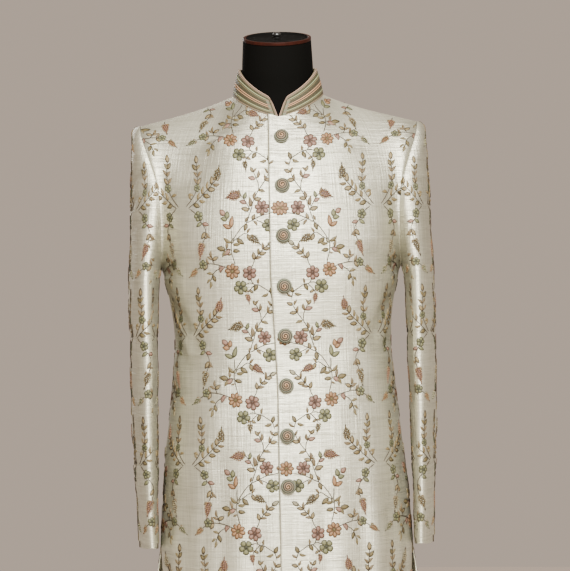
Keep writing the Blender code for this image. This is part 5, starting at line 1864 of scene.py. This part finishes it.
def make_collar(couching):
    """The standing collar: a band whose outer face carries its couched cords."""
    share = np.concatenate((np.linspace(0, NOTCH_SHARE, NOTCH_COLUMNS)[:-1],
                            np.linspace(NOTCH_SHARE, 1, COLLAR_COLUMNS)))
    rise = np.linspace(0, 1, COLLAR_RISE_ROWS + 1)[:, None]
    half = collar_half(share[None, :], rise)
    steps = np.linalg.norm(np.diff(half, axis=1), axis=-1)
    from_notch = np.concatenate((np.zeros((len(half), 1)), np.cumsum(steps, axis=1)), axis=1)
    height, colour = collar_relief(from_notch, 1 - rise + 0 * from_notch)
    grid = np.concatenate((half, half[:, -2::-1] * MIRROR), axis=1)
    height = np.concatenate((height, height[:, -2::-1]), axis=1)
    colour = np.concatenate((colour, colour[:, -2::-1]), axis=1)
    along = np.concatenate((from_notch, 2 * from_notch[:, -1:] - from_notch[:, -2::-1]), axis=1)
    normals = grid_normals(grid, grid * UP)
    grid = pull_in(grid, first_row=GAP * 2)
    outer = grid + normals * height[..., None]
    cloth = np.stack(np.broadcast_arrays(rise * 0.04, along), axis=-1)
    inner_colour = np.tile(np.array(COLLAR_THREADS["facing"]), (colour[..., 0].size, 1))
    thread = np.concatenate((colour.reshape(-1, 3), inner_colour))
    depth = COLLAR_CLOTH + height
    made = shell("collar_couched", outer, normals, depth, cloth, couching, thread=thread)
    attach(made, "root")
    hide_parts("collar")


BUTTON_PROFILE = ((0.0, 0.0), (0.80, 0.0), (0.97, 0.14), (1.0, 0.34), (0.95, 0.56), (0.80, 0.78),
                  (0.55, 0.93), (0.28, 0.99), (0.0, 1.0))
BUTTON_TURNS = 4.6
BUTTON_CORD = 0.00105
BUTTON_THREADS = ("grey_sage", "tan", "peach")  # from its foot to its middle
BUTTON_CHANGES = ((0.38, 0.22), (0.68, 0.20))  # share of the way in, and over how much
CORD_SHADE = (0.12, 0.9, 0.9, 0.12, 0.05, 0.05)  # painted shade round the cord: its crest is painted lighter than its sides


def spiral_cord(radius, height):
    """A cord wound over a dome from its foot to its middle: a six-sided tube along the path.
    Gives points, quads, triangles, a (round, along) map and the share of the way in."""
    t = np.linspace(0, 1, int(BUTTON_TURNS * 30))
    outline = np.array(BUTTON_PROFILE[2:]) * (radius, height)
    run = run_along(outline)
    r, z = (np.interp(t * run[-1], run, outline[:, k]) for k in (0, 1))
    angle = t * BUTTON_TURNS * 2 * math.pi
    path = np.stack((r * np.cos(angle), r * np.sin(angle), z), axis=-1)
    ahead = unit(np.gradient(path, axis=0))
    wider = r + 0.002
    outwards = unit(np.stack((np.cos(angle) * wider, np.sin(angle) * wider, z * 0.9 + 0.002), axis=-1))
    beside = unit(np.cross(ahead, outwards))
    outwards = np.cross(beside, ahead)
    round_it = np.arange(6) * math.pi / 3
    thick = BUTTON_CORD * np.clip(np.minimum(t, 1 - t) * 40, 0.2, 1)
    c, sn = np.cos(round_it)[None, :, None], np.sin(round_it)[None, :, None]
    points = path[:, None] + (beside[:, None] * c + outwards[:, None] * sn) * thick[:, None, None]
    quads = grid_quads(len(path), 6, wrap=True)
    last = (len(path) - 1) * 6
    ends = np.array(((0, 2, 1), (0, 3, 2), (0, 4, 3), (0, 5, 4)))
    triangles = np.concatenate((ends, ends[:, ::-1] + last))
    uv = np.stack(np.broadcast_arrays(round_it[None, :] * BUTTON_CORD, run_along(path)[:, None]), axis=-1)
    return points.reshape(-1, 3), quads, triangles, uv.reshape(-1, 2), np.repeat(t, 6)


def make_buttons(front, normals, couching):
    """Domed buttons wound with cord, each square to the cloth beneath it."""
    chance = np.random.default_rng(41)
    rows = np.arange(front.shape[0])
    column_at = np.array([np.interp(BUTTON_X, row[:, 0], np.arange(front.shape[1])) for row in front])
    line = read_grid(front, rows, column_at)[0]
    facing = unit(read_grid(normals, rows, column_at)[0])
    for i in range(BUTTON_COUNT):
        row = np.interp(BUTTON_TOP_Z - i * BUTTON_PITCH, line[:, 2], rows)
        seat = np.array([np.interp(row, rows, line[:, k]) for k in range(3)])
        normal = unit(np.array([np.interp(row, rows, facing[:, k]) for k in range(3)]))
        radius = BUTTON_RADIUS - BUTTON_CORD * 0.8
        high = BUTTON_HEIGHT - BUTTON_CORD * 0.7
        dome = lathe([(r * radius, h * high) for r, h in BUTTON_PROFILE], 40)
        cord = spiral_cord(radius, high)
        first = len(dome[0])
        points = np.concatenate((dome[0], cord[0]))
        quads = np.concatenate((dome[1], cord[1] + first))
        triangles = np.concatenate((dome[2], cord[2] + first))
        uv = np.concatenate((dome[3], cord[3]))
        share = cord[4][:, None]
        outer, middle, inner = (np.array(COLLAR_THREADS[name]) for name in BUTTON_THREADS)
        first_change, second_change = (smooth((share - at) / over) for at, over in BUTTON_CHANGES)
        wound = outer + (middle - outer) * first_change + (inner - middle) * second_change
        # painted shade: each turn of cord is lighter on its crest than on its sides; the cord is also made
        # darker towards the button's foot
        lit = np.tile(CORD_SHADE, len(share) // len(CORD_SHADE))[:, None]
        wound = wound * (0.8 + 0.3 * share) * lit
        # painted shadow: the dome shows only between the turns of cord, so it takes the collar's dark
        # ground darkened further
        ground = np.tile(np.array(COLLAR_THREADS["ground"]) * 0.7, (first, 1))
        points = standing_on(points, seat + normal * GAP * 1.6, normal, turned=chance.uniform(0, 6.28))
        made = mesh_object(f"button_{i + 1}_wound", points, quads, triangles, uv=uv,
                           thread=np.concatenate((ground, wound)), material=couching)
        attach(made, "root")
        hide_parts(f"button_{i + 1}")


FLOOR_RADIUS = 6.0
FLOOR_SIDES = 96
BACKDROP = linear(190, 173, 158)
LENS = 143.0
CAMERA_PLACE = (0.005, -3.4, 1.1765)
CAMERA_ROLL = math.radians(1.1)
# Name, place, aim, size, watts, colour.
LIGHTS = (
    ("key", (0.3, -2.25, 2.5), (0, 0, 1.2), (1.3, 1.1), 300.0, (1.0, 1.0, 0.965)),
    ("back", (-1.2, 2.9, 2.4), (0, 0, 1.0), (1.2, 1.2), 30.0, (1.0, 1.0, 0.98)),
)


def stage():
    """A round floor. The backdrop is the world's plain colour, so it stands in no view's way."""
    turn = np.linspace(0, 2 * math.pi, FLOOR_SIDES, endpoint=False)
    points = np.stack((np.cos(turn) * FLOOR_RADIUS, np.sin(turn) * FLOOR_RADIUS, 0 * turn), axis=-1)
    ids = np.arange(1, FLOOR_SIDES - 1)
    fan = np.stack((0 * ids, ids, ids + 1), axis=1)
    floor = mesh_object("studio_floor", points, np.zeros((0, 4), int), fan,
                        material=plain_material("pale studio floor", linear(246, 238, 230), 0.9))


def light(name, place, aim, size, watts, colour):
    """A rectangular lamp at its place, turned towards its aim."""
    lamp = bpy.data.lights.new(name, "AREA")
    lamp.shape = "RECTANGLE"
    lamp.size, lamp.size_y = size
    lamp.energy = watts
    lamp.color = colour
    made = bpy.data.objects.new(name, lamp)
    made.location = place
    made.rotation_euler = (Vector(aim) - Vector(place)).to_track_quat("-Z", "Y").to_euler()
    made.visible_camera = False
    bpy.context.scene.collection.objects.link(made)


def camera():
    lens = bpy.data.cameras.new("camera")
    lens.lens = LENS
    lens.sensor_width = 36.0
    lens.sensor_fit = "HORIZONTAL"
    made = bpy.data.objects.new("camera", lens)
    made.location = CAMERA_PLACE
    made.rotation_euler = (math.pi / 2, CAMERA_ROLL, 0.0)
    bpy.context.scene.collection.objects.link(made)
    bpy.context.scene.camera = made


def world():
    made = bpy.data.worlds.new("studio")
    made.use_nodes = True
    made.node_tree.nodes["Background"].inputs[0].default_value = (*BACKDROP, 1.0)
    made.node_tree.nodes["Background"].inputs[1].default_value = 1.0
    bpy.context.scene.world = made


def main():
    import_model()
    silk = silk_material("ivory raw silk", linear(214, 211, 192), linear(160, 156, 136))
    floss = thread_material()
    panels = make_body(silk, floss)
    make_sleeves(silk, floss)
    jersey = jersey_material()
    wood = wood_material()
    lacquer = painted_material("black lacquer", linear(26, 25, 24), 0.25)
    steel = painted_material("black painted steel", linear(34, 34, 34), 0.42)
    couching = couching_material()
    make_collar(couching)
    make_buttons(*panels["front_left"], couching)
    make_form(jersey)
    make_cap(wood, lacquer)
    make_stand(steel)
    stage()
    for row in LIGHTS:
        light(*row)
    world()
    camera()


main()
